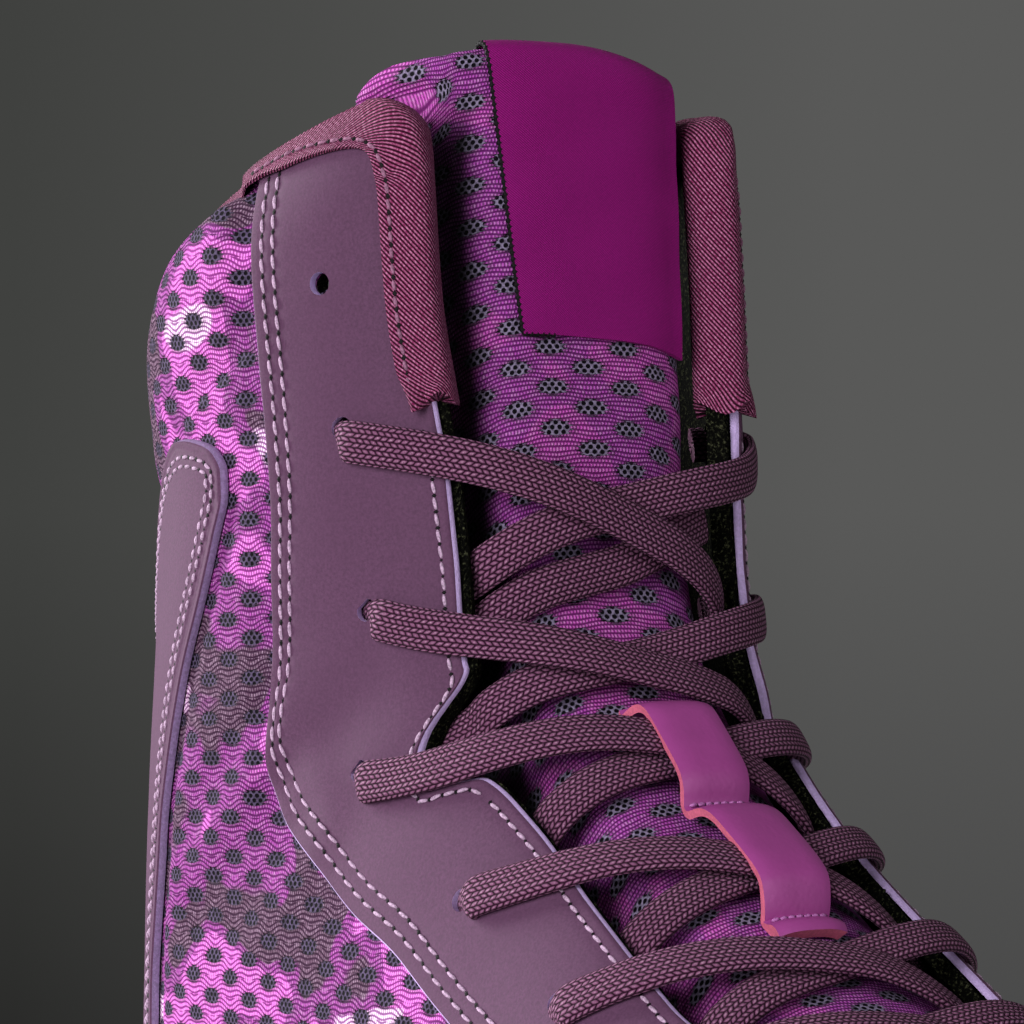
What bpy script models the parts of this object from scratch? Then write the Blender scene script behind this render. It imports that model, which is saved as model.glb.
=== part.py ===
"""Laced high-top boxing shoe for the right foot, standing empty on a rubber cup sole.

Every piece is worked out from one form: the outside of the upper, drawn through leaning sections
that run from the toe tip over the foot to the collar. Tables are in millimetres or in percent of a
named size; objects are in metres. x runs from the heel to the toe, y to the wearer's left, z up.
"""
import bpy
import bmesh
import numpy as np
from mathutils import Vector
from mathutils.bvhtree import BVHTree

MM = 0.001

# Named sizes, mm
LAST_LENGTH = 276.0
BALL_WIDTH = 92.5
COLLAR_HEIGHT = 209.5
GAP = 0.3
FOOT_WALL = 2.0
SHAFT_WALL = 3.0
EYESTAY_THICK = 1.4
COUNTER_THICK = 1.3
LACE_WIDTH = 6.4
LACE_THICK = 1.8
HOLE_RADIUS = 1.7

# Sections of the form: x in percent of the last's length, z of the collar's height, half widths of
# the ball's width. A section leans from its low point at the feather line or heel seam (back) to its
# high point on the front ridge (front); widest is the share of that line where it is broadest.
SECTION_COLUMNS = ("back_x", "back_z", "front_x", "front_z", "widest",
                   "outer", "inner", "sole_outer", "sole_inner", "front_round")
SECTIONS = (
    (100.0, 7.4, 100.0, 13.8, 0.45, 0.0, 0.0, 0.0, 0.0, 0.86),
    (96.4, 6.7, 96.0, 20.0, 0.42, 26.5, 29.2, 22.7, 25.9, 0.86),
    (89.1, 5.5, 88.0, 24.6, 0.36, 41.1, 42.7, 37.8, 40.0, 0.86),
    (76.8, 4.5, 74.3, 30.5, 0.30, 50.8, 49.2, 48.1, 46.5, 0.84),
    (64.5, 4.3, 63.4, 38.4, 0.28, 51.4, 47.6, 47.6, 43.2, 0.80),
    (52.9, 4.5, 54.7, 46.1, 0.32, 47.6, 43.8, 42.7, 35.7, 0.74),
    (40.6, 5.0, 48.4, 52.3, 0.40, 44.3, 41.6, 38.4, 30.8, 0.70),
    (26.8, 5.5, 44.4, 57.8, 0.46, 43.2, 41.6, 35.7, 30.8, 0.68),
    (13.8, 6.0, 42.2, 62.5, 0.48, 42.7, 42.2, 33.5, 32.4, 0.66),
    (5.1, 6.3, 41.1, 66.6, 0.50, 42.7, 42.7, 28.2, 27.6, 0.65),
    (1.2, 6.5, 40.6, 70.4, 0.51, 42.7, 43.2, 0.0, 0.0, 0.64),
    (1.1, 21.5, 40.0, 74.9, 0.52, 43.2, 43.5, 0.0, 0.0, 0.63),
    (2.4, 39.1, 39.6, 80.2, 0.52, 43.8, 43.2, 0.0, 0.0, 0.62),
    (4.2, 56.3, 39.1, 87.4, 0.52, 44.3, 42.4, 0.0, 0.0, 0.61),
    (4.5, 71.1, 38.9, 94.0, 0.52, 44.9, 41.2, 0.0, 0.0, 0.60),
    (4.7, 82.1, 38.8, 100.0, 0.52, 44.9, 40.1, 0.0, 0.0, 0.60),
    (5.1, 90.7, 38.6, 106.0, 0.52, 44.9, 39.6, 0.0, 0.0, 0.60),
)
HEEL_ROW = 10
COLLAR_ROW = 15.2
# Roundness of the sections behind their widest point: full at the heel, slim up the shaft
BACK_ROUND = ((9.2, 0.86), (10.6, 1.5), (12.5, 1.5), (14.0, 1.3))
COLLAR_CURL, CURL_FROM = 4.0, 14.1
HEEL_EASE_LOW, HEEL_EASE_ROWS, HEEL_EASE_PASSES = 0.3, 1.8, 400
ROWS_PER_SECTION = 24
FACING_COUNT, SIDE_COUNT, COUNTER_COUNT = 3, 3, 4
TURNS_PER_SIDE = 60

# Throat: arc distance from the ridge to the edge of the wall on each side, mm
THROAT_COLUMNS = ("section", "outer", "inner")
THROAT = (
    (2.95, 0.0, 0.0), (2.98, 6.0, 5.5), (3.05, 10.5, 9.5), (3.2, 15.0, 13.5), (3.5, 20.5, 18.0),
    (4.0, 26.0, 21.0), (4.5, 28.5, 22.5), (5.4, 28.0, 23.0), (5.9, 27.5, 23.0), (6.5, 28.5, 24.0),
    (6.95, 30.5, 26.0), (7.2, 34.5, 30.0), (7.45, 39.0, 34.5), (7.75, 40.0, 35.5), (8.0, 37.0, 33.0),
    (8.2, 28.5, 26.5), (8.35, 26.8, 26.0), (9.2, 26.3, 26.5), (10.2, 25.8, 27.0), (11.2, 25.8, 26.8),
    (12.0, 26.8, 26.0), (13.0, 28.6, 25.0), (14.4, 29.5, 23.5), (14.75, 30.3, 24.3), (14.95, 32.0, 26.0),
    (15.1, 34.6, 28.6), (15.2, 39.0, 33.0),
)
# Rear edge of the eyestay on each side, mm from the ridge
FACING_COLUMNS = ("section", "outer", "inner")
FACING = (
    (2.3, 24.0, 24.0), (2.4, 31.0, 31.0), (2.6, 38.0, 38.0), (3.0, 44.0, 43.0), (4.0, 51.0, 47.0),
    (5.0, 55.0, 50.0), (6.2, 57.0, 53.0), (6.7, 57.8, 54.0), (7.5, 62.0, 58.5), (8.4, 66.0, 62.5),
    (9.5, 71.8, 68.5), (10.25, 73.5, 70.5), (10.6, 71.5, 69.0), (10.9, 68.6, 66.5), (11.7, 64.4, 62.5),
    (12.4, 61.6, 60.0), (13.1, 60.8, 58.0), (14.0, 60.7, 56.5), (15.2, 59.5, 55.0),
)
# Front edge of the heel counter seen from the side: height and x, mm. Its top runs along one section.
COUNTER_COLUMNS = ("height", "front_x")
COUNTER = (
    (0.0, 60.0), (22.0, 57.0), (33.0, 51.0), (43.0, 46.5), (54.0, 43.0), (65.0, 41.3), (76.0, 41.5),
    (90.0, 44.8), (108.0, 49.7), (124.0, 56.0), (136.0, 62.0), (146.0, 66.3), (153.0, 69.0),
    (157.0, 69.0), (160.0, 66.5), (163.0, 60.0), (175.0, 55.0), (215.0, 52.0),
)
COUNTER_START, COUNTER_TOP = 7.2, 13.3
# Lace holes: section and distance behind the throat edge on the outer and inner side, mm
HOLE_COLUMNS = ("section", "outer", "inner")
HOLES = (
    (13.65, 46.3, 42.0), (12.4, 44.5, 43.0), (10.5, 44.6, 44.5), (8.53, 51.0, 49.0),
    (6.4, 43.6, 39.0), (5.15, 41.2, 36.0), (4.22, 38.5, 33.0), (3.46, 32.5, 29.0),
)
# Tongue: half width, depth of its face under the form and padding, mm
TONGUE_COLUMNS = ("section", "half", "depth", "thick")
TONGUE = (
    (2.2, 22.0, 2.4, 1.6), (3.0, 27.0, 3.6, 2.2), (4.5, 32.0, 4.6, 3.2), (6.5, 35.0, 5.0, 3.8),
    (8.0, 40.0, 5.4, 4.2), (10.0, 44.0, 5.6, 4.6), (12.0, 46.0, 5.6, 5.0), (14.0, 47.0, 5.6, 5.6),
    (15.25, 47.0, 5.7, 5.5), (15.45, 46.0, 5.6, 5.0), (15.56, 43.0, 5.9, 4.0), (15.62, 38.0, 6.7, 2.3),
)
LABEL_BOTTOM, LABEL_TOP = 12.45, 15.5
LABEL_OUTER, LABEL_OUTER_TOP, LABEL_INNER = -12.3, -17.4, 20.0
LABEL_THICK = 0.8
# Lace keeper strip along the tongue: section and lift of its underside over the form, mm
KEEPER_COLUMNS = ("section", "lift")
KEEPER = (
    (7.45, -9.0), (7.02, -9.0), (6.93, -2.2), (6.84, 1.4), (6.74, 2.9), (6.5, 3.2), (6.05, 2.7),
    (5.89, -0.5), (5.77, -9.0), (5.66, -9.0), (5.55, -0.5), (5.43, 2.8), (5.1, 3.3), (4.68, 2.8),
    (4.55, -1.0), (4.45, -9.0), (4.3, -9.0),
)
# Lace crossings: hole, then the section where the strand from each side passes its own throat edge,
# the ridge and the far edge
LACE_COLUMNS = ("hole", "outer_edge", "outer_ridge", "outer_far", "inner_edge", "inner_ridge", "inner_far")
LACES = (
    (1, 11.5, 9.85, 9.1, 11.2, 10.17, 9.75), (2, 8.65, 7.25, 7.2, 9.0, 7.5, 7.75),
    (3, 7.15, 6.4, 6.05, 6.95, 6.3, 6.3), (4, 5.6, 5.0, 4.8, 5.55, 5.1, 5.0),
    (5, 4.65, 4.3, 4.2, 4.65, 4.38, 4.3), (6, 3.97, 3.8, 3.72, 3.97, 3.84, 3.74),
)
LACE_OVER, LACE_UNDER, LACE_TUCK = 1.4, -0.1, -2.2
# Tucked tail of the lace: section, arc and lift of its middle, mm
TAIL = ((10.4, 22.0, -3.2), (9.7, 11.0, -3.6), (9.2, 0.0, -3.8), (9.0, -11.0, -3.9), (8.95, -21.5, -3.9))
KEEPER_WIDTH, KEEPER_THICK, KEEPER_MIDDLE = 12.0, 1.2, -0.8
# Binding: flange widths outside (beside the throat and round the collar) and inside, tape and roll, mm
BINDING_LOW = 12.08
BINDING_OUT, BINDING_BACK, BINDING_IN, BINDING_THICK, BINDING_ROLL = 6.0, 2.4, 2.4, 0.9, 1.5

# Sole: height of the lip over the feather line along the sections, mm
LIP_COLUMNS = ("section", "height")
LIP = (
    (0.0, 10.5), (1.0, 9.5), (2.0, 7.5), (3.0, 6.5), (5.0, 6.0), (7.0, 6.5), (8.5, 8.5), (9.4, 11.0),
    (10.0, 12.0),
)
TOE_SPRING, TOE_SPRING_FROM = 8.5, 226.0
ARCH_RISE, ARCH_FROM, ARCH_TO = 2.4, 78.0, 156.0
HEEL_BEVEL, HEEL_BEVEL_FROM = 1.6, 14.0
LUG_DEPTH, LUG_GROOVE = 1.7, 3.6
LUG_GROOVES_X = (28.0, 46.0, 64.0, 172.0, 188.0, 204.0, 220.0, 236.0)
INSOLE_THICK, INSOLE_INSET = 3.6, 5.2


def smooth(knots, values, at, flat_start=False):
    """Cubic through the values that keeps each run between its two rows, so nothing overshoots."""
    knots = np.asarray(knots, float)
    values = np.asarray(values, float)
    at = np.clip(at, knots[0], knots[-1])
    step = np.diff(knots)
    rise = np.diff(values) / step
    slope = np.concatenate((rise[:1], np.zeros(len(rise) - 1), rise[-1:]))
    same = rise[:-1] * rise[1:] > 0
    slope[1:-1][same] = 2 * rise[:-1][same] * rise[1:][same] / (rise[:-1] + rise[1:])[same]
    if flat_start:
        slope[0] = 0
    k = np.clip(np.searchsorted(knots, at, side="right") - 1, 0, len(step) - 1)
    t = (at - knots[k]) / step[k]
    return ((1 + 2 * t) * (1 - t) ** 2 * values[k] + t * (1 - t) ** 2 * step[k] * slope[k]
            + t * t * (3 - 2 * t) * values[k + 1] + t * t * (t - 1) * step[k] * slope[k + 1])


def lookup(table, columns, name, at):
    """One named column of a table, at section numbers."""
    rows = np.array(table)
    return smooth(rows[:, 0], rows[:, columns.index(name)], at)


def section_value(name, s):
    """One named column of the section table in mm."""
    size = {"x": LAST_LENGTH, "z": COLLAR_HEIGHT}.get(name[-1], BALL_WIDTH) / 100
    if name in ("widest", "front_round"):
        size = 1.0
    rows = np.array(SECTIONS)
    if name.startswith("sole"):
        rows = rows[:HEEL_ROW + 1]
    column = rows[:, SECTION_COLUMNS.index(name)]
    return smooth(np.arange(len(rows)), column, s, name in ("back_x", "front_x")) * size


class Form:
    """The upper's outside as rows of points, with arc distances from the ridge and normals."""

    def __init__(self):
        last = len(SECTIONS) - 1
        self.s = np.linspace(0, last, last * ROWS_PER_SECTION + 1)
        turns = np.radians(np.linspace(90, -90, TURNS_PER_SIDE + 1))
        outer = self.half("outer", turns, -1)[:, ::-1]
        inner = self.half("inner", turns, 1)[:, 1:]
        self.points = np.concatenate((outer, inner), axis=1)
        self.round_heel()
        self.measure()
        self.curl_collar()
        self.measure()
        self.normals = self.outward()

    def half(self, side, turns, sign):
        """Sections of one side from the ridge to the feather line or the heel seam."""
        value = {name: section_value(name, self.s)[:, None] for name in SECTION_COLUMNS}
        rise = np.sin(turns)[None, :]
        reach = np.clip(np.cos(turns), 0, 1)[None, :]
        reach[reach < 1e-9] = 0
        front = rise >= 0
        widest = value["widest"]
        share = np.where(front, widest + (1 - widest) * rise, widest * (1 + rise))
        wide = value[side]
        foot = value["sole_" + side]
        knots = np.array(BACK_ROUND)
        low = foot + (wide - foot) * reach ** smooth(knots[:, 0], knots[:, 1], self.s)[:, None]
        across = np.where(front, wide * reach ** value["front_round"], low)
        x = value["back_x"] + (value["front_x"] - value["back_x"]) * share
        z = value["back_z"] + (value["front_z"] - value["back_z"]) * share
        return np.stack((x, sign * across, z), axis=2)

    def round_heel(self):
        """Ease the sections into each other where they leave the feather line for the heel seam."""
        share = 1 - np.abs(np.linspace(-1, 1, 2 * TURNS_PER_SIDE + 1))
        free = np.clip(share / HEEL_EASE_LOW, 0, 1)[None, :, None] ** 2
        near = np.clip(1 - np.abs(self.s[1:-1] - HEEL_ROW) / HEEL_EASE_ROWS, 0, 1)[:, None, None]
        for _ in range(HEEL_EASE_PASSES):
            mean = 0.5 * (self.points[:-2] + self.points[2:])
            self.points[1:-1] += free * near * (mean - self.points[1:-1])

    def measure(self):
        """Signed arc of every point from the ridge of its section."""
        steps = np.linalg.norm(np.diff(self.points, axis=1), axis=2)
        length = np.concatenate((np.zeros((len(steps), 1)), np.cumsum(steps, axis=1)), axis=1)
        self.arc = length - length[:, TURNS_PER_SIDE:TURNS_PER_SIDE + 1]

    def curl_collar(self):
        """Draw the collar's rim inwards beside and behind the throat, and let go a little above it."""
        rise = np.clip((self.s - CURL_FROM) / (COLLAR_ROW - CURL_FROM), 0, 1) ** 2
        rise = rise * (1 - 0.5 * np.clip((self.s - COLLAR_ROW) / 0.6, 0, 1))
        aside = np.clip((np.abs(self.arc) - 24.0) / 16.0, 0, 1)
        aside = aside * aside * (3 - 2 * aside)
        self.points = self.points - COLLAR_CURL * (rise[:, None] * aside)[..., None] * self.outward()

    def outward(self):
        """Unit normals, made the same on both sides of the heel seam and straight ahead at the toe."""
        along = np.gradient(self.points, axis=0)
        across = np.gradient(self.points, axis=1)
        closed = self.s >= HEEL_ROW
        across[closed, 0] = self.points[closed, 1] - self.points[closed, -2]
        across[closed, -1] = across[closed, 0]
        normal = np.cross(across, along)
        normal[0] = (1, 0, 0)
        normal /= np.linalg.norm(normal, axis=2, keepdims=True)
        seam = normal[closed, 0] + normal[closed, -1]
        seam /= np.linalg.norm(seam, axis=1, keepdims=True)
        normal[closed, 0] = seam
        normal[closed, -1] = seam
        return normal

    def row(self, s):
        """Arc distances, points and normals of the section at s."""
        place = np.clip(s * ROWS_PER_SECTION, 0, len(self.s) - 1 - 1e-9)
        i = int(place)
        w = place - i
        normal = (1 - w) * self.normals[i] + w * self.normals[i + 1]
        normal /= np.linalg.norm(normal, axis=1, keepdims=True)
        return ((1 - w) * self.arc[i] + w * self.arc[i + 1],
                (1 - w) * self.points[i] + w * self.points[i + 1], normal)

    def at(self, s, arc, lift=0.0):
        """Points at section s and signed arcs from the ridge, lifted along the normal."""
        arcs, points, normals = self.row(s)
        arc = np.atleast_1d(np.asarray(arc, float))
        point = np.stack([np.interp(arc, arcs, points[:, k]) for k in range(3)], axis=1)
        normal = np.stack([np.interp(arc, arcs, normals[:, k]) for k in range(3)], axis=1)
        normal /= np.linalg.norm(normal, axis=1, keepdims=True)
        return point + np.broadcast_to(np.asarray(lift, float), arc.shape)[:, None] * normal

    def normal_at(self, s, arc):
        return (self.at(s, arc, 1.0) - self.at(s, arc, 0.0))[0]

    def end(self, s, side):
        """Arc of the feather line or heel seam on one side, without its sign."""
        return abs(self.row(s)[0][0 if side == "outer" else -1])

    def half_row(self, s, side):
        """Arcs without their sign and points of one side, from its low end to the ridge."""
        arcs, points, _ = self.row(s)
        if side == "inner":
            arcs, points = arcs[::-1], points[::-1]
        return np.abs(arcs[:TURNS_PER_SIDE + 1]), points[:TURNS_PER_SIDE + 1]

    def arc_at_height(self, s, side, z):
        """Arc on one side where the section passes height z, or its end where it starts higher."""
        arcs, points = self.half_row(s, side)
        return float(np.interp(z, points[:, 2], arcs))

    def moved(self, s, arc, way):
        """Section number and arc reached from (s, arc) by a short step along the surface."""
        here = self.at(s, arc)[0]
        down = self.at(s + 0.02, arc)[0] - self.at(s - 0.02, arc)[0]
        over = self.at(s, arc + 0.2)[0] - self.at(s, arc - 0.2)[0]
        share = np.linalg.lstsq(np.stack((down / 0.04, over / 0.4), axis=1), np.asarray(way), rcond=None)[0]
        return s + share[0], arc + share[1], here


FORM = Form()


def wall(s):
    """Thickness of the upper: thin over the foot, padded up the shaft."""
    return FOOT_WALL + (SHAFT_WALL - FOOT_WALL) * np.clip((s - 5.0) / 4.0, 0, 1)


def material(name, color, roughness):
    m = bpy.data.materials.new(name)
    m.use_nodes = True
    shader = m.node_tree.nodes["Principled BSDF"]
    shader.inputs["Base Color"].default_value = color + (1.0,)
    shader.inputs["Roughness"].default_value = roughness
    return m


def solid(name, points, faces, skin):
    """Weld equal points, drop collapsed faces and make one object."""
    points = np.asarray(points, float)
    _, first, back = np.unique(np.round(points, 4), axis=0, return_index=True, return_inverse=True)
    back = back.ravel()
    kept = []
    for face in faces:
        loop = [back[v] for v in face]
        loop = [v for v, after in zip(loop, loop[1:] + loop[:1]) if v != after]
        if len(set(loop)) == len(loop) > 2:
            kept.append(loop)
    mesh = bpy.data.meshes.new(name)
    mesh.from_pydata([tuple(v) for v in points[first] * MM], [], kept)
    mesh.materials.append(skin)
    work = bmesh.new()
    work.from_mesh(mesh)
    bmesh.ops.delete(work, geom=[v for v in work.verts if not v.link_faces], context="VERTS")
    bmesh.ops.recalc_face_normals(work, faces=work.faces)
    work.to_mesh(mesh)
    work.free()
    thing = bpy.data.objects.new(name, mesh)
    bpy.context.scene.collection.objects.link(thing)
    thing.parent = FRAME
    return thing


def sheet(name, patches, skin):
    """A thick sheet from grids of under and outer points; edges that two patches share stay open."""
    tops, unders, faces = [], [], []
    for under, top in patches:
        rows, cols = top.shape[:2]
        start = len(tops)
        tops.extend(top.reshape(-1, 3))
        unders.extend(under.reshape(-1, 3))
        for i in range(rows - 1):
            for j in range(cols - 1):
                k = start + i * cols + j
                faces += [(k, k + 1, k + cols + 1), (k, k + cols + 1, k + cols)]
    _, first, back = np.unique(np.round(np.array(tops), 4), axis=0, return_index=True, return_inverse=True)
    back = back.ravel()
    tops = np.array(tops)[first]
    unders = np.array(unders)[first]
    count = len(tops)
    welded, edges = [], {}
    for face in faces:
        loop = [back[v] for v in face]
        loop = [v for v, after in zip(loop, loop[1:] + loop[:1]) if v != after]
        if len(set(loop)) == len(loop) > 2:
            welded.append(loop)
            for a, b in zip(loop, loop[1:] + loop[:1]):
                edges[(a, b)] = edges.get((a, b), 0) + 1
    every = [list(loop) for loop in welded] + [[v + count for v in reversed(loop)] for loop in welded]
    for a, b in edges:
        if (b, a) not in edges:
            every.append([b, a, a + count, b + count])
    return solid(name, np.concatenate((tops, unders)), every, skin)


def patch(stations, side, bounds, columns, low, high):
    """Under and outer grids of one side; bounds gives the arcs between which the columns are shared out."""
    sign = -1 if side == "outer" else 1
    under, top = [], []
    for s in stations:
        marks = bounds(s, side)
        runs = [np.linspace(a, b, n + 1)[1:] for a, b, n in zip(marks[:-1], marks[1:], columns)]
        arcs = sign * np.concatenate([marks[:1]] + runs)
        if side == "inner":
            arcs = arcs[::-1]
        under.append(FORM.at(s, arcs, low(s)))
        top.append(FORM.at(s, arcs, high(s)))
    return np.array(under), np.array(top)


def ring_loft(name, rings, skin):
    """A solid through closed rings whose first and last ring fold flat onto themselves."""
    rings = np.array(rings)
    count, size = rings.shape[:2]
    faces = []
    for i in range(count - 1):
        for j in range(size):
            k = (j + 1) % size
            faces.append((i * size + j, i * size + k, (i + 1) * size + k, (i + 1) * size + j))
    return solid(name, rings.reshape(-1, 3), faces, skin)


def bar_loft(name, rings, skin):
    """A solid through closed rings with both ends capped."""
    rings = np.array(rings)
    count, size = rings.shape[:2]
    faces = [tuple(range(size))[::-1], tuple(range((count - 1) * size, count * size))]
    for i in range(count - 1):
        for j in range(size):
            k = (j + 1) % size
            faces.append((i * size + j, i * size + k, (i + 1) * size + k, (i + 1) * size + j))
    return solid(name, rings.reshape(-1, 3), faces, skin)


def cut(target, tool, operation):
    """Exact boolean with a hidden tool."""
    tool.hide_render = True
    tool.display_type = "WIRE"
    change = target.modifiers.new(operation.lower(), "BOOLEAN")
    change.operation = operation
    change.solver = "EXACT"
    change.object = tool


def throat_edge(s, side):
    """Arc of the throat's edge; nothing is open in front of the throat."""
    return float(lookup(THROAT, THROAT_COLUMNS, side, s)) if s > THROAT[0][0] else 0.0


def facing_edge(s, side):
    return float(lookup(FACING, FACING_COLUMNS, side, s))


# The sole's rim and lip

def ground(x):
    """Height of the sole's underside: toe spring, flat forefoot, arch, flat heel and heel bevel."""
    toe = TOE_SPRING * np.clip((x - TOE_SPRING_FROM) / (LAST_LENGTH - TOE_SPRING_FROM), 0, None) ** 2
    arch = ARCH_RISE * np.sin(np.pi * np.clip((x - ARCH_FROM) / (ARCH_TO - ARCH_FROM), 0, 1)) ** 2
    heel = HEEL_BEVEL * np.clip((HEEL_BEVEL_FROM - x) / HEEL_BEVEL_FROM, 0, None) ** 2
    return toe + arch + heel


class Rim:
    """Points of the feather line on one side with the level way outwards, and the form beside it."""

    def __init__(self):
        grid = FORM.points[::4, ::3] * MM
        rows, cols = grid.shape[:2]
        quads = [(i * cols + j, i * cols + j + 1, (i + 1) * cols + j + 1, (i + 1) * cols + j)
                 for i in range(rows - 1) for j in range(cols - 1)]
        self.tree = BVHTree.FromPolygons([Vector(v) for v in grid.reshape(-1, 3)], quads)

    def base(self, s, side):
        sign = -1 if side == "outer" else 1
        return np.array((section_value("back_x", s), sign * section_value("sole_" + side, s),
                         section_value("back_z", s)), float)

    def way(self, s, side):
        """Level direction square to the feather line, straight along the shoe at its two ends."""
        if s <= 0:
            return np.array((1.0, 0.0, 0.0))
        if s >= HEEL_ROW:
            return np.array((-1.0, 0.0, 0.0))
        step = 0.01
        run = self.base(min(s + step, HEEL_ROW), side) - self.base(max(s - step, 0), side)
        sign = -1 if side == "outer" else 1
        out = np.array((sign * -run[1], sign * run[0], 0.0)) * -1
        return out / np.linalg.norm(out)

    def beside(self, s, side, rise):
        """The form's surface straight outwards of the feather line, a given height over it."""
        base = self.base(s, side)
        way = self.way(s, side)
        inside = (base - 18 * way) * MM
        inside[2] = (base[2] + rise) * MM
        inside[1] += 1e-7
        hit = self.tree.ray_cast(Vector(inside), Vector(way), 0.05)[0]
        found = np.array(hit) / MM
        if s <= 0 or s >= HEEL_ROW:
            found[1] = 0.0
        return found


def sole_stations():
    """Section numbers for the sole: even steps, round ends, and four stations for each groove."""
    dense = np.linspace(0, HEEL_ROW, 4001)
    x = section_value("back_x", dense)
    stations = [0.0, 0.18, 0.4, 0.7, 1.0, 1.2, 1.45, 1.7, 2.0, 3.0, 4.6, 5.1, 5.6, 6.1, 6.6, 7.1, 8.75, 9.0,
                9.3, 9.5, 9.7, 9.85, 10.0]
    for middle in LUG_GROOVES_X:
        for offset in (LUG_GROOVE / 2 + 0.6, LUG_GROOVE / 2, -LUG_GROOVE / 2, -LUG_GROOVE / 2 - 0.6):
            stations.append(float(np.interp(middle + offset, x[::-1], dense[::-1])))
    return sorted(set(stations))


def groove(x):
    """One inside a groove between two lugs, nought on a lug."""
    return 1.0 if min(abs(x - middle) for middle in LUG_GROOVES_X) < LUG_GROOVE / 2 + 0.1 else 0.0


def make_sole(skin):
    rim = Rim()
    rings = []
    for s in sole_stations():
        halves = []
        for side in ("outer", "inner"):
            base = rim.base(s, side)
            way = rim.way(s, side)
            up = np.array((0.0, 0.0, 1.0))
            lip = float(lookup(LIP, LIP_COLUMNS, "height", s))
            low = rim.beside(s, side, 3.0)
            mid = rim.beside(s, side, 5.0)
            top = rim.beside(s, side, lip)
            floor = ground(base[0])
            level = np.array((1.0, 1.0, 0.0))
            halves.append([
                base - GAP * up,
                low + 2.8 * GAP * way - 0.2 * up,
                top + 2.2 * GAP * way,
                top + 2.2 * way - 0.3 * up,
                mid + 2.5 * way - 0.4 * up,
                mid + 3.2 * way - 1.0 * up,
                (base + 4.2 * way) * level + (floor + 0.35 * (base[2] - floor)) * up,
                (base + 3.4 * way) * level + (floor + 0.9) * up,
                (base + 2.4 * way) * level + floor * up,
                (base - 4.5 * way) * level + floor * up,
                (base - 5.2 * way) * level + (floor + LUG_DEPTH * groove(base[0])) * up,
            ])
        rings.append(halves[0] + halves[1][::-1])
    return ring_loft("outsole", rings, skin)


def make_insole(skin):
    rim = Rim()
    rings = []
    stations = (0.0, 0.25, 0.5, 0.8, 1.2, 1.6, 2.0, 2.5, 3.0, 3.6, 4.2, 5.0, 6.0, 7.0, 8.0, 8.6, 9.0, 9.4,
                9.7, 9.88, 10.0)
    for s in stations:
        ring = []
        for side, heights in (("outer", (0.0, INSOLE_THICK)), ("inner", (INSOLE_THICK, 0.0))):
            edge = rim.base(s, side) - INSOLE_INSET * rim.way(s, side)
            ring += [edge + np.array((0, 0, 0.05 + h)) for h in heights]
        rings.append(ring)
    return ring_loft("insole", rings, skin)


FACING_STATIONS = (2.3, 2.42, 2.62, 2.95, 3.0, 3.15, 3.45, 4.0, 4.6, 5.2, 5.9, 6.5, 6.95, 7.2, 7.5, 7.85,
                   8.15, 8.35, 8.8, 9.3, 9.7, 10.0, 10.3, 10.65, 11.05, 11.6, 12.2, 12.65, 12.9, 13.12, 13.3,
                   13.8, 14.4, 14.8, 15.05, 15.2)
UPPER_STATIONS = (0.0, 0.18, 0.4, 0.7, 1.0, 1.45, 2.0) + FACING_STATIONS


def lip_clear(s, side):
    """Arc just above the sole's lip, or the heel seam where that is higher."""
    row = min(s, HEEL_ROW)
    height = section_value("back_z", row) + float(lookup(LIP, LIP_COLUMNS, "height", row)) + 0.5
    return FORM.arc_at_height(s, side, height)


def counter_edge(s, side):
    """Arc of the counter's front edge; it lies at the lip where there is no counter."""
    arcs, points = FORM.half_row(s, side)
    ahead = points[:, 0] - lookup(COUNTER, COUNTER_COLUMNS, "front_x", points[:, 2])
    return min(float(np.interp(0.0, ahead, arcs)), lip_clear(s, side))


def make_upper(skin):
    """The wall shares the columns of eyestay and counter, so that they lie evenly on it."""
    def bounds(s, side):
        low = lip_clear(s, side)
        facing = min(facing_edge(s, side), 0.8 * low)
        return FORM.end(s, side), low, counter_edge(s, side), facing, throat_edge(s, side)

    patches = [patch(UPPER_STATIONS, side, bounds, (1, COUNTER_COUNT, SIDE_COUNT, FACING_COUNT),
                     lambda s: -wall(s), lambda s: 0.0) for side in ("outer", "inner")]
    return sheet("upper", patches, skin)


def make_eyestay(skin):
    def bounds(s, side):
        return facing_edge(s, side), throat_edge(s, side)

    patches = [patch(FACING_STATIONS, side, bounds, (FACING_COUNT,), lambda s: GAP,
                     lambda s: GAP + EYESTAY_THICK) for side in ("outer", "inner")]
    return sheet("eyestay", patches, skin)


def make_counter(skin):
    def bounds(s, side):
        return lip_clear(s, side), counter_edge(s, side)

    stations = [s for s in FACING_STATIONS if COUNTER_START <= s <= COUNTER_TOP]
    patches = [patch(stations, side, bounds, (COUNTER_COUNT,), lambda s: GAP, lambda s: GAP + COUNTER_THICK)
               for side in ("outer", "inner")]
    return sheet("heel_counter", patches, skin)


def make_tongue(skin):
    def bounds(s, side):
        return float(lookup(TONGUE, TONGUE_COLUMNS, "half", s)), 0.0

    def back(s):
        return tongue_face(s) - float(lookup(TONGUE, TONGUE_COLUMNS, "thick", s))

    stations = (2.2, 3.0, 4.0, 5.0, 6.0, 6.8, 7.5, 8.3, 9.3, 10.3, 11.4, 12.5, 13.6, 14.4, 14.8, 15.05, 15.25,
                15.45, 15.56, 15.62)
    patches = [patch(stations, side, bounds, (4,), back, tongue_face) for side in ("outer", "inner")]
    return sheet("tongue", patches, skin)


def tongue_face(s):
    return -float(lookup(TONGUE, TONGUE_COLUMNS, "depth", s))


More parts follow.
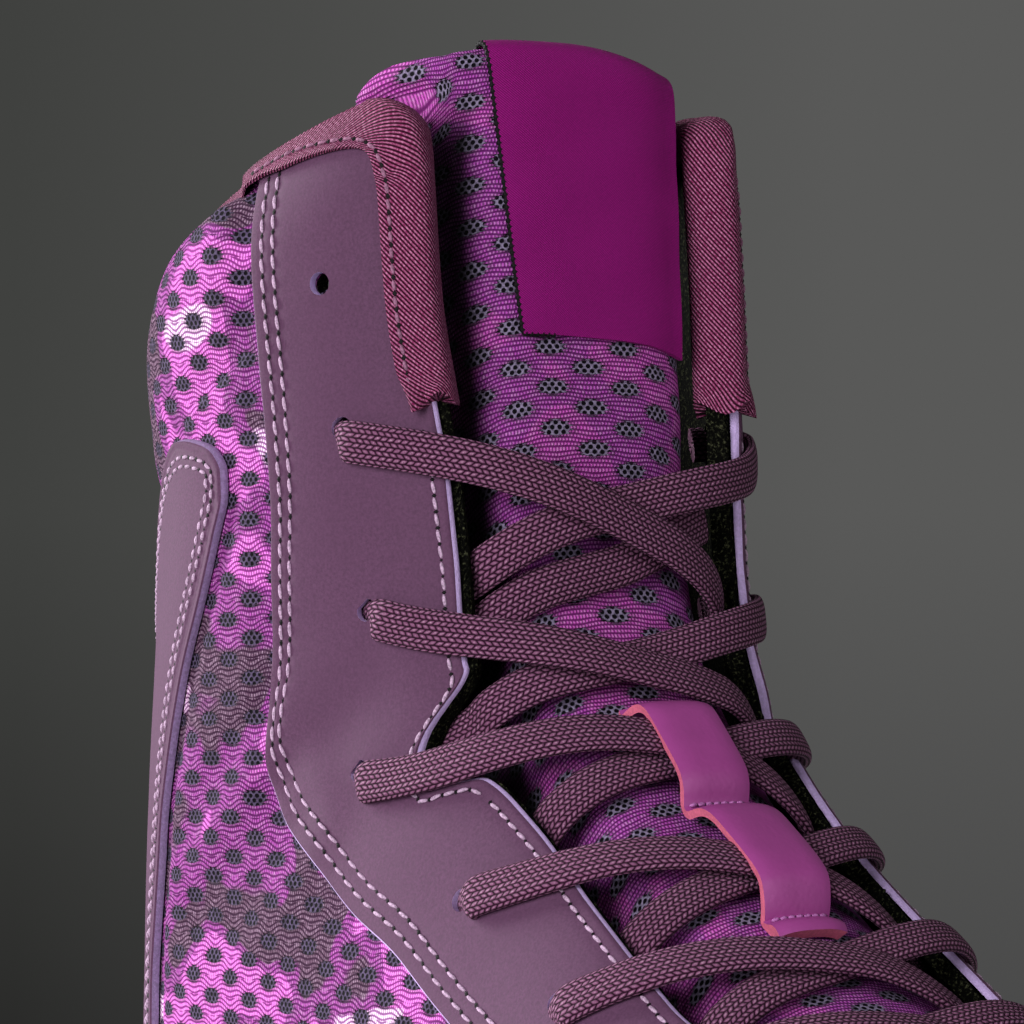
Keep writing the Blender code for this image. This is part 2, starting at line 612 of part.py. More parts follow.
def make_label(skin):
    under, top = [], []
    for share in np.linspace(0, 1, 6):
        s = LABEL_BOTTOM + (LABEL_TOP - LABEL_BOTTOM) * share
        arcs = np.linspace(LABEL_OUTER + (LABEL_OUTER_TOP - LABEL_OUTER) * share, LABEL_INNER, 5)
        under.append(FORM.at(s, arcs, tongue_face(s) + GAP))
        top.append(FORM.at(s, arcs, tongue_face(s) + GAP + LABEL_THICK))
    return sheet("tongue_label", [(np.array(under), np.array(top))], skin)


def make_keeper(skin):
    arcs = KEEPER_MIDDLE + np.array((-0.5, 0.0, 0.5)) * KEEPER_WIDTH
    under, top = [], []
    for s, lift in reversed(KEEPER):
        low = max(lift, tongue_face(s) + 2.5 * GAP)
        under.append(FORM.at(s, arcs, low))
        top.append(FORM.at(s, arcs, low + KEEPER_THICK))
    return sheet("lace_keeper", [(np.array(under), np.array(top))], skin)


def collar_arcs(edge, facing, end):
    """Arcs along the collar: short steps round the front corner, longer ones to the heel seam."""
    return np.concatenate((np.linspace(edge, facing + 2, 5), np.linspace(facing + 7, end, 11)))


def make_binding(skin):
    """Tape folded over the edge, from the outer side of the throat round the collar to the inner side."""
    climb = [BINDING_LOW, 12.5, 13.1, 13.7, 14.4, 14.75, 14.95, 15.1]
    path = [(s, -throat_edge(s, "outer")) for s in climb]
    edge_out, edge_in = throat_edge(COLLAR_ROW, "outer"), throat_edge(COLLAR_ROW, "inner")
    end = FORM.end(COLLAR_ROW, "outer")
    path += [(COLLAR_ROW, -a) for a in collar_arcs(edge_out, facing_edge(COLLAR_ROW, "outer"), end)]
    end = FORM.end(COLLAR_ROW, "inner")
    path += [(COLLAR_ROW, a) for a in collar_arcs(edge_in, facing_edge(COLLAR_ROW, "inner"), end)[-2::-1]]
    path += [(s, throat_edge(s, "inner")) for s in reversed(climb)]
    places = np.array([FORM.at(s, a)[0] for s, a in path])
    runs = np.gradient(places, axis=0)
    rings = []
    for (s, a), place, run in zip(path, places, runs):
        normal = FORM.normal_at(s, a)
        out = np.cross(run, normal)
        out /= np.linalg.norm(out)
        covered = np.clip((abs(a) - facing_edge(s, "outer" if a < 0 else "inner") - 2.5) / 4.0, 0, 1)
        lift = 2 * GAP + (EYESTAY_THICK + 0.1) * (1 - covered)
        under = -wall(s) - 3 * GAP
        width = np.interp(abs(a), (40.0, 57.0), (BINDING_OUT, BINDING_BACK))
        s_out, a_out, _ = FORM.moved(s, a, -width * out)
        s_in, a_in, _ = FORM.moved(s, a, -BINDING_IN * out)
        rings.append([
            FORM.at(s_out, a_out, lift)[0],
            FORM.at(s_out, a_out, lift + BINDING_THICK)[0],
            place + (lift + BINDING_THICK + 0.3) * normal,
            place + BINDING_ROLL * out + 0.5 * (lift + under) * normal,
            place + (under - BINDING_THICK) * normal,
            FORM.at(s_in, a_in, under - BINDING_THICK)[0],
            FORM.at(s_in, a_in, under)[0],
            place + 0.4 * out + under * normal,
            place + 0.4 * out + lift * normal,
        ])
    return bar_loft("collar_binding", rings, skin)


def make_band(name, s, arc, lift, skin):
    """A flat lace band along section numbers and arcs, at a lift of its middle."""
    places = np.array([FORM.at(s[k], arc[k], lift[k])[0] for k in range(len(s))])
    runs = np.gradient(places, axis=0)
    rings = []
    for k in range(len(s)):
        side = np.cross(FORM.normal_at(s[k], arc[k]), runs[k])
        side *= 0.5 * LACE_WIDTH / np.linalg.norm(side)
        s_left, a_left, _ = FORM.moved(s[k], arc[k], side)
        s_right, a_right, _ = FORM.moved(s[k], arc[k], -side)
        low, high = lift[k] - LACE_THICK / 2, lift[k] + LACE_THICK / 2
        rings.append([FORM.at(s_left, a_left, low)[0], FORM.at(s_right, a_right, low)[0],
                      FORM.at(s_right, a_right, high)[0], FORM.at(s_left, a_left, high)[0]])
    return bar_loft(name, rings, skin)


LACE_ON_FACING = EYESTAY_THICK + 3.6 * GAP + LACE_THICK / 2


def strand(row, side, rise, steps=10):
    """Section, arc and lift from a hole over the eyestay and the throat to the far edge."""
    sign = -1 if side == "outer" else 1
    other = "inner" if side == "outer" else "outer"
    hole = HOLES[row[0]]
    edge, ridge, far = (row[LACE_COLUMNS.index(side + place)] for place in ("_edge", "_ridge", "_far"))
    start = hole[HOLE_COLUMNS.index(side)]
    near = throat_edge(edge, side) + 1.0
    end = min(throat_edge(far + step, other) for step in (-0.4, -0.2, 0.0, 0.2, 0.4)) - 2.8
    knots = (-start, -near, 0.0, end)
    across = np.linspace(-start, end, steps)
    s = smooth(knots, (hole[0], edge, ridge, far), across)
    lift = smooth(knots, (LACE_ON_FACING, LACE_ON_FACING, rise, LACE_TUCK), across)
    return s, -sign * across, lift


def make_laces(skin):
    for row in LACES:
        over = make_band("lace_crossing_%d" % row[0], *strand(row, "outer", LACE_OVER), skin)
        under = make_band("lace_under_%d" % row[0], *strand(row, "inner", LACE_UNDER), skin)
        cut(over, under, "UNION")
    s, outer, inner = HOLES[-1]
    edges = throat_edge(s, "outer") + 1.0, throat_edge(s, "inner") + 1.0
    arc = np.linspace(-outer, inner, 11)
    lift = smooth((-outer, -edges[0], 0.0, edges[1], inner),
                  (LACE_ON_FACING, LACE_ON_FACING, LACE_OVER, LACE_ON_FACING, LACE_ON_FACING), arc)
    make_band("lace_bar", np.full(11, s), arc, lift, skin)
    tail = np.array(TAIL)
    arc = np.linspace(tail[0, 1], tail[-1, 1], 9)
    s, lift = (smooth(-tail[:, 1], tail[:, k], -arc) for k in (0, 2))
    make_band("lace_tail", s, arc, lift, skin)


def punch_holes(targets, skin):
    """Round lace holes through the eyestay and the wall under it."""
    points, faces = [], []
    sides = 6
    for hole in HOLES:
        for sign, column in ((-1, "outer"), (1, "inner")):
            s, a = hole[0], sign * hole[HOLE_COLUMNS.index(column)]
            normal = FORM.normal_at(s, a)
            across = np.cross(normal, (0, 0, 1))
            across /= np.linalg.norm(across)
            over = np.cross(normal, across)
            start = len(points)
            for depth in (-6.0, 4.0):
                middle = FORM.at(s, a)[0] + depth * normal
                for k in range(sides):
                    turn = 2 * np.pi * k / sides
                    points.append(middle + HOLE_RADIUS * (np.cos(turn) * across + np.sin(turn) * over))
            low = list(range(start, start + sides))
            high = list(range(start + sides, start + 2 * sides))
            faces += [low[::-1], high]
            faces += [(low[k], low[(k + 1) % sides], high[(k + 1) % sides], high[k]) for k in range(sides)]
    tool = solid("hole_punch", points, faces, skin)
    for target in targets:
        cut(target, tool, "DIFFERENCE")


for thing in list(bpy.data.objects):
    bpy.data.objects.remove(thing, do_unlink=True)
FRAME = bpy.data.objects.new("frame", None)
bpy.context.scene.collection.objects.link(FRAME)

RUBBER = material("dark rubber", (0.035, 0.02, 0.035), 0.6)
FOAM = material("footbed foam", (0.03, 0.02, 0.03), 0.9)
MESH = material("purple mesh", (0.2, 0.04, 0.2), 0.8)
MICROFIBRE = material("plum microfibre", (0.13, 0.06, 0.12), 0.75)
TWILL = material("burgundy twill", (0.17, 0.02, 0.08), 0.7)
SATIN = material("magenta satin", (0.24, 0.01, 0.15), 0.4)
LEATHER = material("magenta leather", (0.3, 0.03, 0.2), 0.5)
BRAID = material("plum braid", (0.12, 0.04, 0.09), 0.7)

SOLE = make_sole(RUBBER)
make_insole(FOAM)
UPPER = make_upper(MESH)
EYESTAY = make_eyestay(MICROFIBRE)
make_counter(MICROFIBRE)
make_tongue(MESH)
make_label(SATIN)
make_keeper(LEATHER)
make_binding(TWILL)
make_laces(BRAID)
punch_holes((UPPER, EYESTAY), MICROFIBRE)

# The frame's origin is the middle of the standing shoe's box, on the floor
CORNERS = np.array([v.co for v in SOLE.data.vertices])
MIDDLE = 0.5 * (CORNERS.min(axis=0) + CORNERS.max(axis=0))
FRAME.location = (-MIDDLE[0], -MIDDLE[1], 0.0)
bpy.context.view_layer.update()
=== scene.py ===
"""Looks of a laced high-top boxing shoe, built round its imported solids.

The soft pieces are worked out again from the form that the solids share, a function of a section number
and an arc, in millimetres. x runs from the heel to the toe, y to the wearer's left and z up.
"""
import math
from functools import partialmethod

import bmesh
import bpy
import numpy as np
from mathutils import Matrix, Vector
from mathutils.bvhtree import BVHTree


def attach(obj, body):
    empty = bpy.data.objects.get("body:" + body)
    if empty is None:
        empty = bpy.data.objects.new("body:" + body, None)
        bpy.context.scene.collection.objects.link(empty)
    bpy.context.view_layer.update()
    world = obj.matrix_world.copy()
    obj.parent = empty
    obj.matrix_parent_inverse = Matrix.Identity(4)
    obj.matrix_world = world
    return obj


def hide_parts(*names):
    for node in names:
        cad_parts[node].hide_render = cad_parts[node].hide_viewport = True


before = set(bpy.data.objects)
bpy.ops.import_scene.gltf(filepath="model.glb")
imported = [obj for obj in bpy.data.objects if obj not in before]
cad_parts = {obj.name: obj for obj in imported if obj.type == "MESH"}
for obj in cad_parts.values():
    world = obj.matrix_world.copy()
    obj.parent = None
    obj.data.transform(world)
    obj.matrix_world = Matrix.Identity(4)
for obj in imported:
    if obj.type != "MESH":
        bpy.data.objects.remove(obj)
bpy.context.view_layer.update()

bl_info = {
    "name": "Boxing Shoe Looks",
    "version": (1, 0, 0),
    "blender": (4, 5, 0),
    "location": "View3D > Sidebar > Shoe",
    "description": "Knit, microfibre, laces, stitching and sole of a laced boxing shoe",
    "category": "Object",
}

MM = 0.001
BODY = "root"
SIDES = (("outer", -1), ("inner", 1))
# The frame's origin on the last: the middle of the sole's box, mm
ORIGIN = np.array((139.656, -0.883, 0.0))

# Named sizes of the solids, mm
LAST_LENGTH = 276.0
BALL_WIDTH = 92.5
COLLAR_HEIGHT = 209.5
GAP = 0.3
FOOT_WALL, SHAFT_WALL = 2.0, 3.0
EYESTAY_THICK, COUNTER_THICK = 1.4, 1.3
HOLE_RADIUS = 1.7

# Sections of the form: x in percent of the last's length, z of the collar's height, half widths of
# the ball's width. A section leans from its low point (back) to its high point on the ridge (front).
SECTION_COLUMNS = ("back_x", "back_z", "front_x", "front_z", "widest",
                   "outer", "inner", "sole_outer", "sole_inner", "front_round")
SECTIONS = (
    (100.0, 7.4, 100.0, 13.8, 0.45, 0.0, 0.0, 0.0, 0.0, 0.86),
    (96.4, 6.7, 96.0, 20.0, 0.42, 26.5, 29.2, 22.7, 25.9, 0.86),
    (89.1, 5.5, 88.0, 24.6, 0.36, 41.1, 42.7, 37.8, 40.0, 0.86),
    (76.8, 4.5, 74.3, 30.5, 0.30, 50.8, 49.2, 48.1, 46.5, 0.84),
    (64.5, 4.3, 63.4, 38.4, 0.28, 51.4, 47.6, 47.6, 43.2, 0.80),
    (52.9, 4.5, 54.7, 46.1, 0.32, 47.6, 43.8, 42.7, 35.7, 0.74),
    (40.6, 5.0, 48.4, 52.3, 0.40, 44.3, 41.6, 38.4, 30.8, 0.70),
    (26.8, 5.5, 44.4, 57.8, 0.46, 43.2, 41.6, 35.7, 30.8, 0.68),
    (13.8, 6.0, 42.2, 62.5, 0.48, 42.7, 42.2, 33.5, 32.4, 0.66),
    (5.1, 6.3, 41.1, 66.6, 0.50, 42.7, 42.7, 28.2, 27.6, 0.65),
    (1.2, 6.5, 40.6, 70.4, 0.51, 42.7, 43.2, 0.0, 0.0, 0.64),
    (1.1, 21.5, 40.0, 74.9, 0.52, 43.2, 43.5, 0.0, 0.0, 0.63),
    (2.4, 39.1, 39.6, 80.2, 0.52, 43.8, 43.2, 0.0, 0.0, 0.62),
    (4.2, 56.3, 39.1, 87.4, 0.52, 44.3, 42.4, 0.0, 0.0, 0.61),
    (4.5, 71.1, 38.9, 94.0, 0.52, 44.9, 41.2, 0.0, 0.0, 0.60),
    (4.7, 82.1, 38.8, 100.0, 0.52, 44.9, 40.1, 0.0, 0.0, 0.60),
    (5.1, 90.7, 38.6, 106.0, 0.52, 44.9, 39.6, 0.0, 0.0, 0.60),
)
HEEL_ROW, COLLAR_ROW = 10, 15.2
# Roundness of the sections behind their widest point: full at the heel, slim up the shaft
BACK_ROUND = ((9.2, 0.86), (10.6, 1.5), (12.5, 1.5), (14.0, 1.3))
COLLAR_CURL, CURL_FROM = 4.0, 14.1
HEEL_EASE_LOW, HEEL_EASE_ROWS, HEEL_EASE_PASSES = 0.3, 1.8, 400
ROWS_PER_SECTION, TURNS_PER_SIDE, ARC_STEP = 24, 160, 0.5

# Throat: arc distance from the ridge to the edge of the wall on each side, mm
SIDE_COLUMNS = ("section", "outer", "inner")
THROAT = (
    (2.95, 0.0, 0.0), (2.98, 6.0, 5.5), (3.05, 10.5, 9.5), (3.2, 15.0, 13.5), (3.5, 20.5, 18.0),
    (4.0, 26.0, 21.0), (4.5, 28.5, 22.5), (5.4, 28.0, 23.0), (5.9, 27.5, 23.0), (6.5, 28.5, 24.0),
    (6.95, 30.5, 26.0), (7.2, 34.5, 30.0), (7.45, 39.0, 34.5), (7.75, 40.0, 35.5), (8.0, 37.0, 33.0),
    (8.2, 28.5, 26.5), (8.35, 26.8, 26.0), (9.2, 26.3, 26.5), (10.2, 25.8, 27.0), (11.2, 25.8, 26.8),
    (12.0, 26.8, 26.8), (13.0, 28.6, 27.2), (14.4, 29.5, 25.6), (14.75, 30.3, 26.2),
    (14.95, 32.0, 27.6), (15.1, 34.6, 29.8), (15.2, 39.0, 33.4),
)
# Rear edge of the eyestay on each side, mm from the ridge
FACING = (
    (2.3, 24.0, 24.0), (2.4, 31.0, 31.0), (2.6, 38.0, 38.0), (3.0, 44.0, 43.0), (4.0, 51.0, 47.0),
    (5.0, 55.0, 50.0), (6.2, 57.0, 53.0), (6.7, 57.8, 54.0), (7.5, 62.0, 58.5), (8.4, 66.0, 62.5),
    (9.5, 71.8, 68.5), (10.25, 73.5, 70.5), (10.6, 71.5, 69.0), (10.9, 68.6, 66.5), (11.7, 64.4, 62.5),
    (12.4, 61.6, 60.0), (13.1, 60.8, 58.0), (14.0, 60.7, 56.5), (15.2, 59.5, 55.0),
)
# Front edge of the heel counter seen from the side: height and x, mm
COUNTER_COLUMNS = ("height", "front_x")
COUNTER = (
    (0.0, 60.0), (22.0, 57.0), (33.0, 51.0), (43.0, 46.5), (54.0, 43.0), (65.0, 41.3), (76.0, 41.5),
    (90.0, 44.8), (108.0, 49.7), (124.0, 56.0), (136.0, 62.0), (146.0, 66.3), (151.5, 68.3),
    (155.0, 68.2), (158.0, 66.0), (160.5, 61.0), (163.0, 55.0), (175.0, 52.0), (215.0, 50.0),
)
COUNTER_START, COUNTER_TOP = 7.2, 13.55
# Round corner of the counter's ear and the height of one section there, mm; sections that its top falls
EAR_ROUND, ROW_HEIGHT, EAR_FALL = 6.0, 13.0, 0.55
# Lace holes: section and arc from the ridge on the outer and inner side, mm
HOLES = (
    (13.65, 46.3, 42.0), (12.4, 44.5, 43.0), (10.5, 44.6, 44.5), (8.53, 51.0, 49.0),
    (6.4, 43.6, 39.0), (5.15, 41.2, 36.0), (4.22, 38.5, 33.0), (3.46, 32.5, 29.0),
)
# Tongue: half width, depth of its face under the form and padding, mm
TONGUE_COLUMNS = ("section", "half", "depth", "thick")
TONGUE = (
    (2.2, 22.0, 2.4, 1.6), (3.0, 27.0, 3.6, 2.2), (4.5, 32.0, 4.6, 3.2), (6.5, 35.0, 5.0, 3.8),
    (8.0, 40.0, 5.4, 4.2), (10.0, 44.0, 5.6, 4.6), (12.0, 46.0, 5.6, 5.0), (14.0, 47.0, 5.6, 5.6),
    (15.25, 47.0, 5.7, 5.5), (15.45, 46.0, 5.6, 5.0), (15.56, 43.0, 5.9, 4.0), (15.62, 38.0, 6.7, 2.3),
)
# Lace crossings: hole, then the section where each strand passes its own throat edge, the ridge
# and the far edge
LACE_COLUMNS = ("hole", "outer_edge", "outer_ridge", "outer_far", "inner_edge", "inner_ridge", "inner_far")
LACES = (
    (1, 11.5, 9.85, 9.1, 11.2, 10.17, 9.75), (2, 8.65, 7.25, 7.2, 9.0, 7.5, 7.75),
    (3, 7.15, 6.4, 6.05, 6.95, 6.3, 6.3), (4, 5.6, 5.06, 4.88, 5.55, 5.14, 5.05),
    (5, 4.65, 4.3, 4.2, 4.65, 4.38, 4.3), (6, 3.97, 3.8, 3.72, 3.97, 3.84, 3.74),
)
LACE_OVER, LACE_UNDER, LACE_TUCK = 1.5, -0.4, -2.2
# Tucked tail of the lace: section, arc and lift of its middle, mm
TAIL = ((10.4, 22.0, -3.2), (9.7, 11.0, -3.6), (9.2, 0.0, -3.8), (9.0, -11.0, -3.9), (8.95, -21.5, -3.9),
        (8.95, -28.5, -4.3))
# Lace keeper: section and lift of its underside over the form, mm
KEEPER = (
    (7.02, -9.0), (6.95, -5.0), (6.88, 0.5), (6.8, 2.2), (6.7, 2.8), (6.45, 2.9), (6.05, 2.6),
    (5.95, 2.0), (5.87, 0.6), (5.8, -1.3), (5.74, -1.3), (5.67, 0.6), (5.58, 2.1), (5.46, 2.7), (5.1, 2.9),
    (4.94, 2.6), (4.85, 0.6), (4.785, -2.4), (4.745, -9.0), (4.63, -9.0),
)
KEEPER_END, KEEPER_SEAMS = 4.67, ((5.77, -1.3), (4.74, -9.0))
KEEPER_WIDTH, KEEPER_THICK, KEEPER_MIDDLE, KEEPER_CLEAR = 11.2, 1.2, -1.0, 2.5 * GAP
LABEL_OUTER, LABEL_OUTER_TOP, LABEL_INNER, LABEL_THICK = -12.3, -17.4, 20.0, 0.8
# Label: section and lift along its fold over the tongue's top, mm
LABEL_PATH = (
    (12.45, -4.9), (12.8, -4.75), (13.5, -4.75), (14.3, -4.8), (15.0, -4.85), (15.35, -4.75),
    (15.55, -5.0), (15.66, -6.2), (15.7, -7.9), (15.66, -9.6), (15.5, -11.0), (15.2, -11.9), (14.8, -12.1),
)
# Binding: flange widths outside (beside the throat and round the collar) and inside, tape and roll, mm
BINDING_LOW = 12.08
BINDING_OUT, BINDING_BACK, BINDING_IN, BINDING_THICK, BINDING_ROLL = 6.0, 2.4, 2.4, 0.9, 1.5

# Sole: height of the lip over the feather line along the sections, mm
LIP_COLUMNS = ("section", "height")
LIP = (
    (0.0, 10.5), (1.0, 9.5), (2.0, 7.5), (3.0, 6.5), (5.0, 6.0), (7.0, 6.5), (8.5, 8.5), (9.4, 11.0),
    (10.0, 12.0),
)
TOE_SPRING, TOE_SPRING_FROM = 8.5, 226.0
ARCH_RISE, ARCH_FROM, ARCH_TO = 2.4, 78.0, 156.0
HEEL_BEVEL, HEEL_BEVEL_FROM = 1.6, 14.0
LUG_DEPTH, LUG_GROOVE = 1.7, 3.6
LUG_GROOVES_X = (28.0, 46.0, 64.0, 172.0, 188.0, 204.0, 220.0, 236.0)
INSOLE_THICK, INSOLE_INSET = 3.6, 5.2

# Main creases: section and arc of each end on the outer side, depth and width of the trough, mm
CREASE_COLUMNS = ("from_section", "from_arc", "to_section", "to_arc", "depth", "width")
CREASES = (
    (9.9, 70.0, 10.2, 104.0, 0.7, 4.0), (9.1, 66.0, 9.5, 98.0, 0.6, 3.6), (10.9, 74.0, 11.0, 100.0, 0.5, 3.4),
    (2.0, 6.0, 2.5, 46.0, 0.6, 3.6), (1.7, 12.0, 2.1, 48.0, 0.45, 3.2), (9.5, 46.0, 9.8, 70.0, 0.3, 5.0),
)
PUFF_SIDE, PUFF_COLLAR, PILLOW = 0.9, 3.2, 1.7


def tint(red, green, blue):
    """Linear colour of an eight-bit screen colour."""
    c = np.array((red, green, blue)) / 255
    linear = np.where(c <= 0.04045, c / 12.92, ((c + 0.055) / 1.055) ** 2.4)
    return tuple(float(x) for x in linear)


def colour(name, text, *screen):
    """Colour property with an eight-bit screen colour as its start."""
    return bpy.props.FloatVectorProperty(name=name, description=text, subtype="COLOR", size=3, min=0.0,
                                         max=1.0, default=tint(*screen))


def size(name, text, millimetres):
    """Length property with a start in mm."""
    return bpy.props.FloatProperty(name=name, description=text, default=millimetres * MM, min=0.00005,
                                   precision=5, unit="LENGTH")


def power(name, text, watts):
    """Power property of a light."""
    return bpy.props.FloatProperty(name=name, description=text, default=watts, unit="POWER")


class ShoeColours(bpy.types.PropertyGroup):
    """Colours of the shoe's finishes."""

    knit: colour("Knit", "Main colour of the camouflage knit", 156, 70, 152)
    # also the tint of the painted shade round the knit's ovals
    knit_dark: colour("Knit dark", "Dark patches of the knit", 96, 70, 90)
    knit_bright: colour("Knit bright", "Bright patches of the knit", 226, 116, 212)
    # also the tint of the painted glints on the knit's yarn
    knit_pale: colour("Knit pale", "Small pale patches of the knit", 244, 208, 240)
    tongue: colour("Tongue knit", "Main colour of the tongue", 182, 78, 170)
    tongue_dark: colour("Tongue knit dark", "Dark patches of the tongue", 158, 68, 158)
    backing: colour("Backing", "Grey cloth in the ovals of the upper", 84, 72, 98)
    tongue_backing: colour("Tongue backing", "Grey cloth in the ovals of the tongue", 130, 118, 146)
    microfibre: colour("Microfibre", "Eyestay and heel counter", 89, 58, 84)
    edge: colour("Cut edge", "Cut edge of the eyestay", 208, 180, 236)
    counter_edge: colour("Counter edge", "Cut edge of the heel counter", 128, 102, 146)
    thread: colour("Thread", "Sewing thread", 198, 166, 196)
    braid: colour("Braid", "Flat lace", 124, 76, 108)
    # painted highlight on the crests of the lace's plaits
    braid_highlight: colour("Braid tips", "Crests of the lace's plaits", 206, 164, 190)
    # painted shade in the dips between the lace's plaits
    braid_dip_shade: colour("Braid gaps", "Dips between the lace's plaits", 44, 12, 34)
    twill: colour("Twill", "Collar binding", 124, 36, 82)
    # painted highlight on the crests of the binding's ribs
    twill_highlight: colour("Twill tips", "Crests of the binding's ribs", 192, 122, 160)
    satin: colour("Satin", "Tongue label", 144, 14, 116)
    leather: colour("Leather", "Lace keeper", 160, 66, 140)
    leather_edge: colour("Leather edge", "Cut edge of the lace keeper", 226, 108, 140)
    lining: colour("Lining", "Lining and padding edge", 7, 7, 6)
    fluff: colour("Fluff", "Lighter fibres of the lining", 78, 80, 58)
    rubber: colour("Rubber", "Sole", 62, 42, 60)


class ShoeSizes(bpy.types.PropertyGroup):
    """Sizes of the patterns, threads and laces."""

    oval_across: size("Oval pitch across", "Distance between ovals of one row of the knit", 10.3)
    oval_along: size("Oval pitch along", "Distance between rows of ovals that line up", 6.0)
    side_oval: size("Side oval", "Long axis of an oval on the upper", 4.3)
    tongue_oval: size("Tongue oval", "Long axis of an oval on the tongue", 4.4)
    oval_height: size("Oval height", "Short axis of an oval", 2.4)
    side_course: size("Side course", "Distance between knit courses of the upper", 0.68)
    loop: size("Loop", "Width of one loop of the knit", 0.46)
    tongue_course: size("Tongue course", "Distance between knit courses of the tongue", 0.6)
    stitch_pitch: size("Stitch pitch", "Distance between stitches of the double row", 3.0)
    front_pitch: size("Front stitch pitch", "Distance between stitches beside the throat", 2.35)
    thread_width: size("Thread width", "Width of the sewing thread", 0.64)
    lace_width: size("Lace width", "Width of the flat lace", 6.3)
    lace_thick: size("Lace thickness", "Thickness of the flat lace", 2.1)
    plait: size("Plait", "Length of one plait of the lace", 1.05)
    plait_width: size("Plait width", "Width of one column of plaits", 0.72)
    rib: size("Rib", "Distance between ribs of the twill", 0.78)


class ShoeStage(bpy.types.PropertyGroup):
    """Camera and light."""

    lens: bpy.props.FloatProperty(name="Lens", description="Focal length, mm", default=165.2, min=10.0,
                                  unit="CAMERA")
    key: power("Key light", "Power of the main light", 16.5)
    fill: power("Fill light", "Power of the weak light", 3.4)
    rim: power("Rim light", "Power of the side light", 24.0)


def colours():
    """The scene's colours of the shoe."""
    return bpy.context.scene.shoe_colours


def millimetres(name):
    """One named size of the patterns, in mm."""
    return getattr(bpy.context.scene.shoe_sizes, name) / MM


# The form

def smooth(knots, values, at, flat_start=False):
    """Cubic through the values that keeps each run between its two rows, so nothing overshoots."""
    knots = np.asarray(knots, float)
    values = np.asarray(values, float)
    at = np.clip(at, knots[0], knots[-1])
    step = np.diff(knots)
    rise = np.diff(values) / step
    slope = np.concatenate((rise[:1], np.zeros(len(rise) - 1), rise[-1:]))
    same = rise[:-1] * rise[1:] > 0
    slope[1:-1][same] = 2 * rise[:-1][same] * rise[1:][same] / (rise[:-1] + rise[1:])[same]
    if flat_start:
        slope[0] = 0
    k = np.clip(np.searchsorted(knots, at, side="right") - 1, 0, len(step) - 1)
    t = (at - knots[k]) / step[k]
    return ((1 + 2 * t) * (1 - t) ** 2 * values[k] + t * (1 - t) ** 2 * step[k] * slope[k]
            + t * t * (3 - 2 * t) * values[k + 1] + t * t * (t - 1) * step[k] * slope[k + 1])


def lookup(table, columns, name, at):
    """One named column of a table, at section numbers."""
    rows = np.array(table)
    return smooth(rows[:, 0], rows[:, columns.index(name)], at)


def section_value(name, s):
    """One named column of the section table in mm."""
    scale = {"x": LAST_LENGTH, "z": COLLAR_HEIGHT}.get(name[-1], BALL_WIDTH) / 100
    if name in ("widest", "front_round"):
        scale = 1.0
    rows = np.array(SECTIONS)
    if name.startswith("sole"):
        rows = rows[:HEEL_ROW + 1]
    column = rows[:, SECTION_COLUMNS.index(name)]
    return smooth(np.arange(len(rows)), column, s, name in ("back_x", "front_x")) * scale


def unit(vectors):
    """Vectors of length one."""
    return vectors / np.maximum(np.linalg.norm(vectors, axis=-1, keepdims=True), 1e-9)


def ease(x):
    """Soft step from nought to one."""
    x = np.clip(x, 0, 1)
    return x * x * (3 - 2 * x)


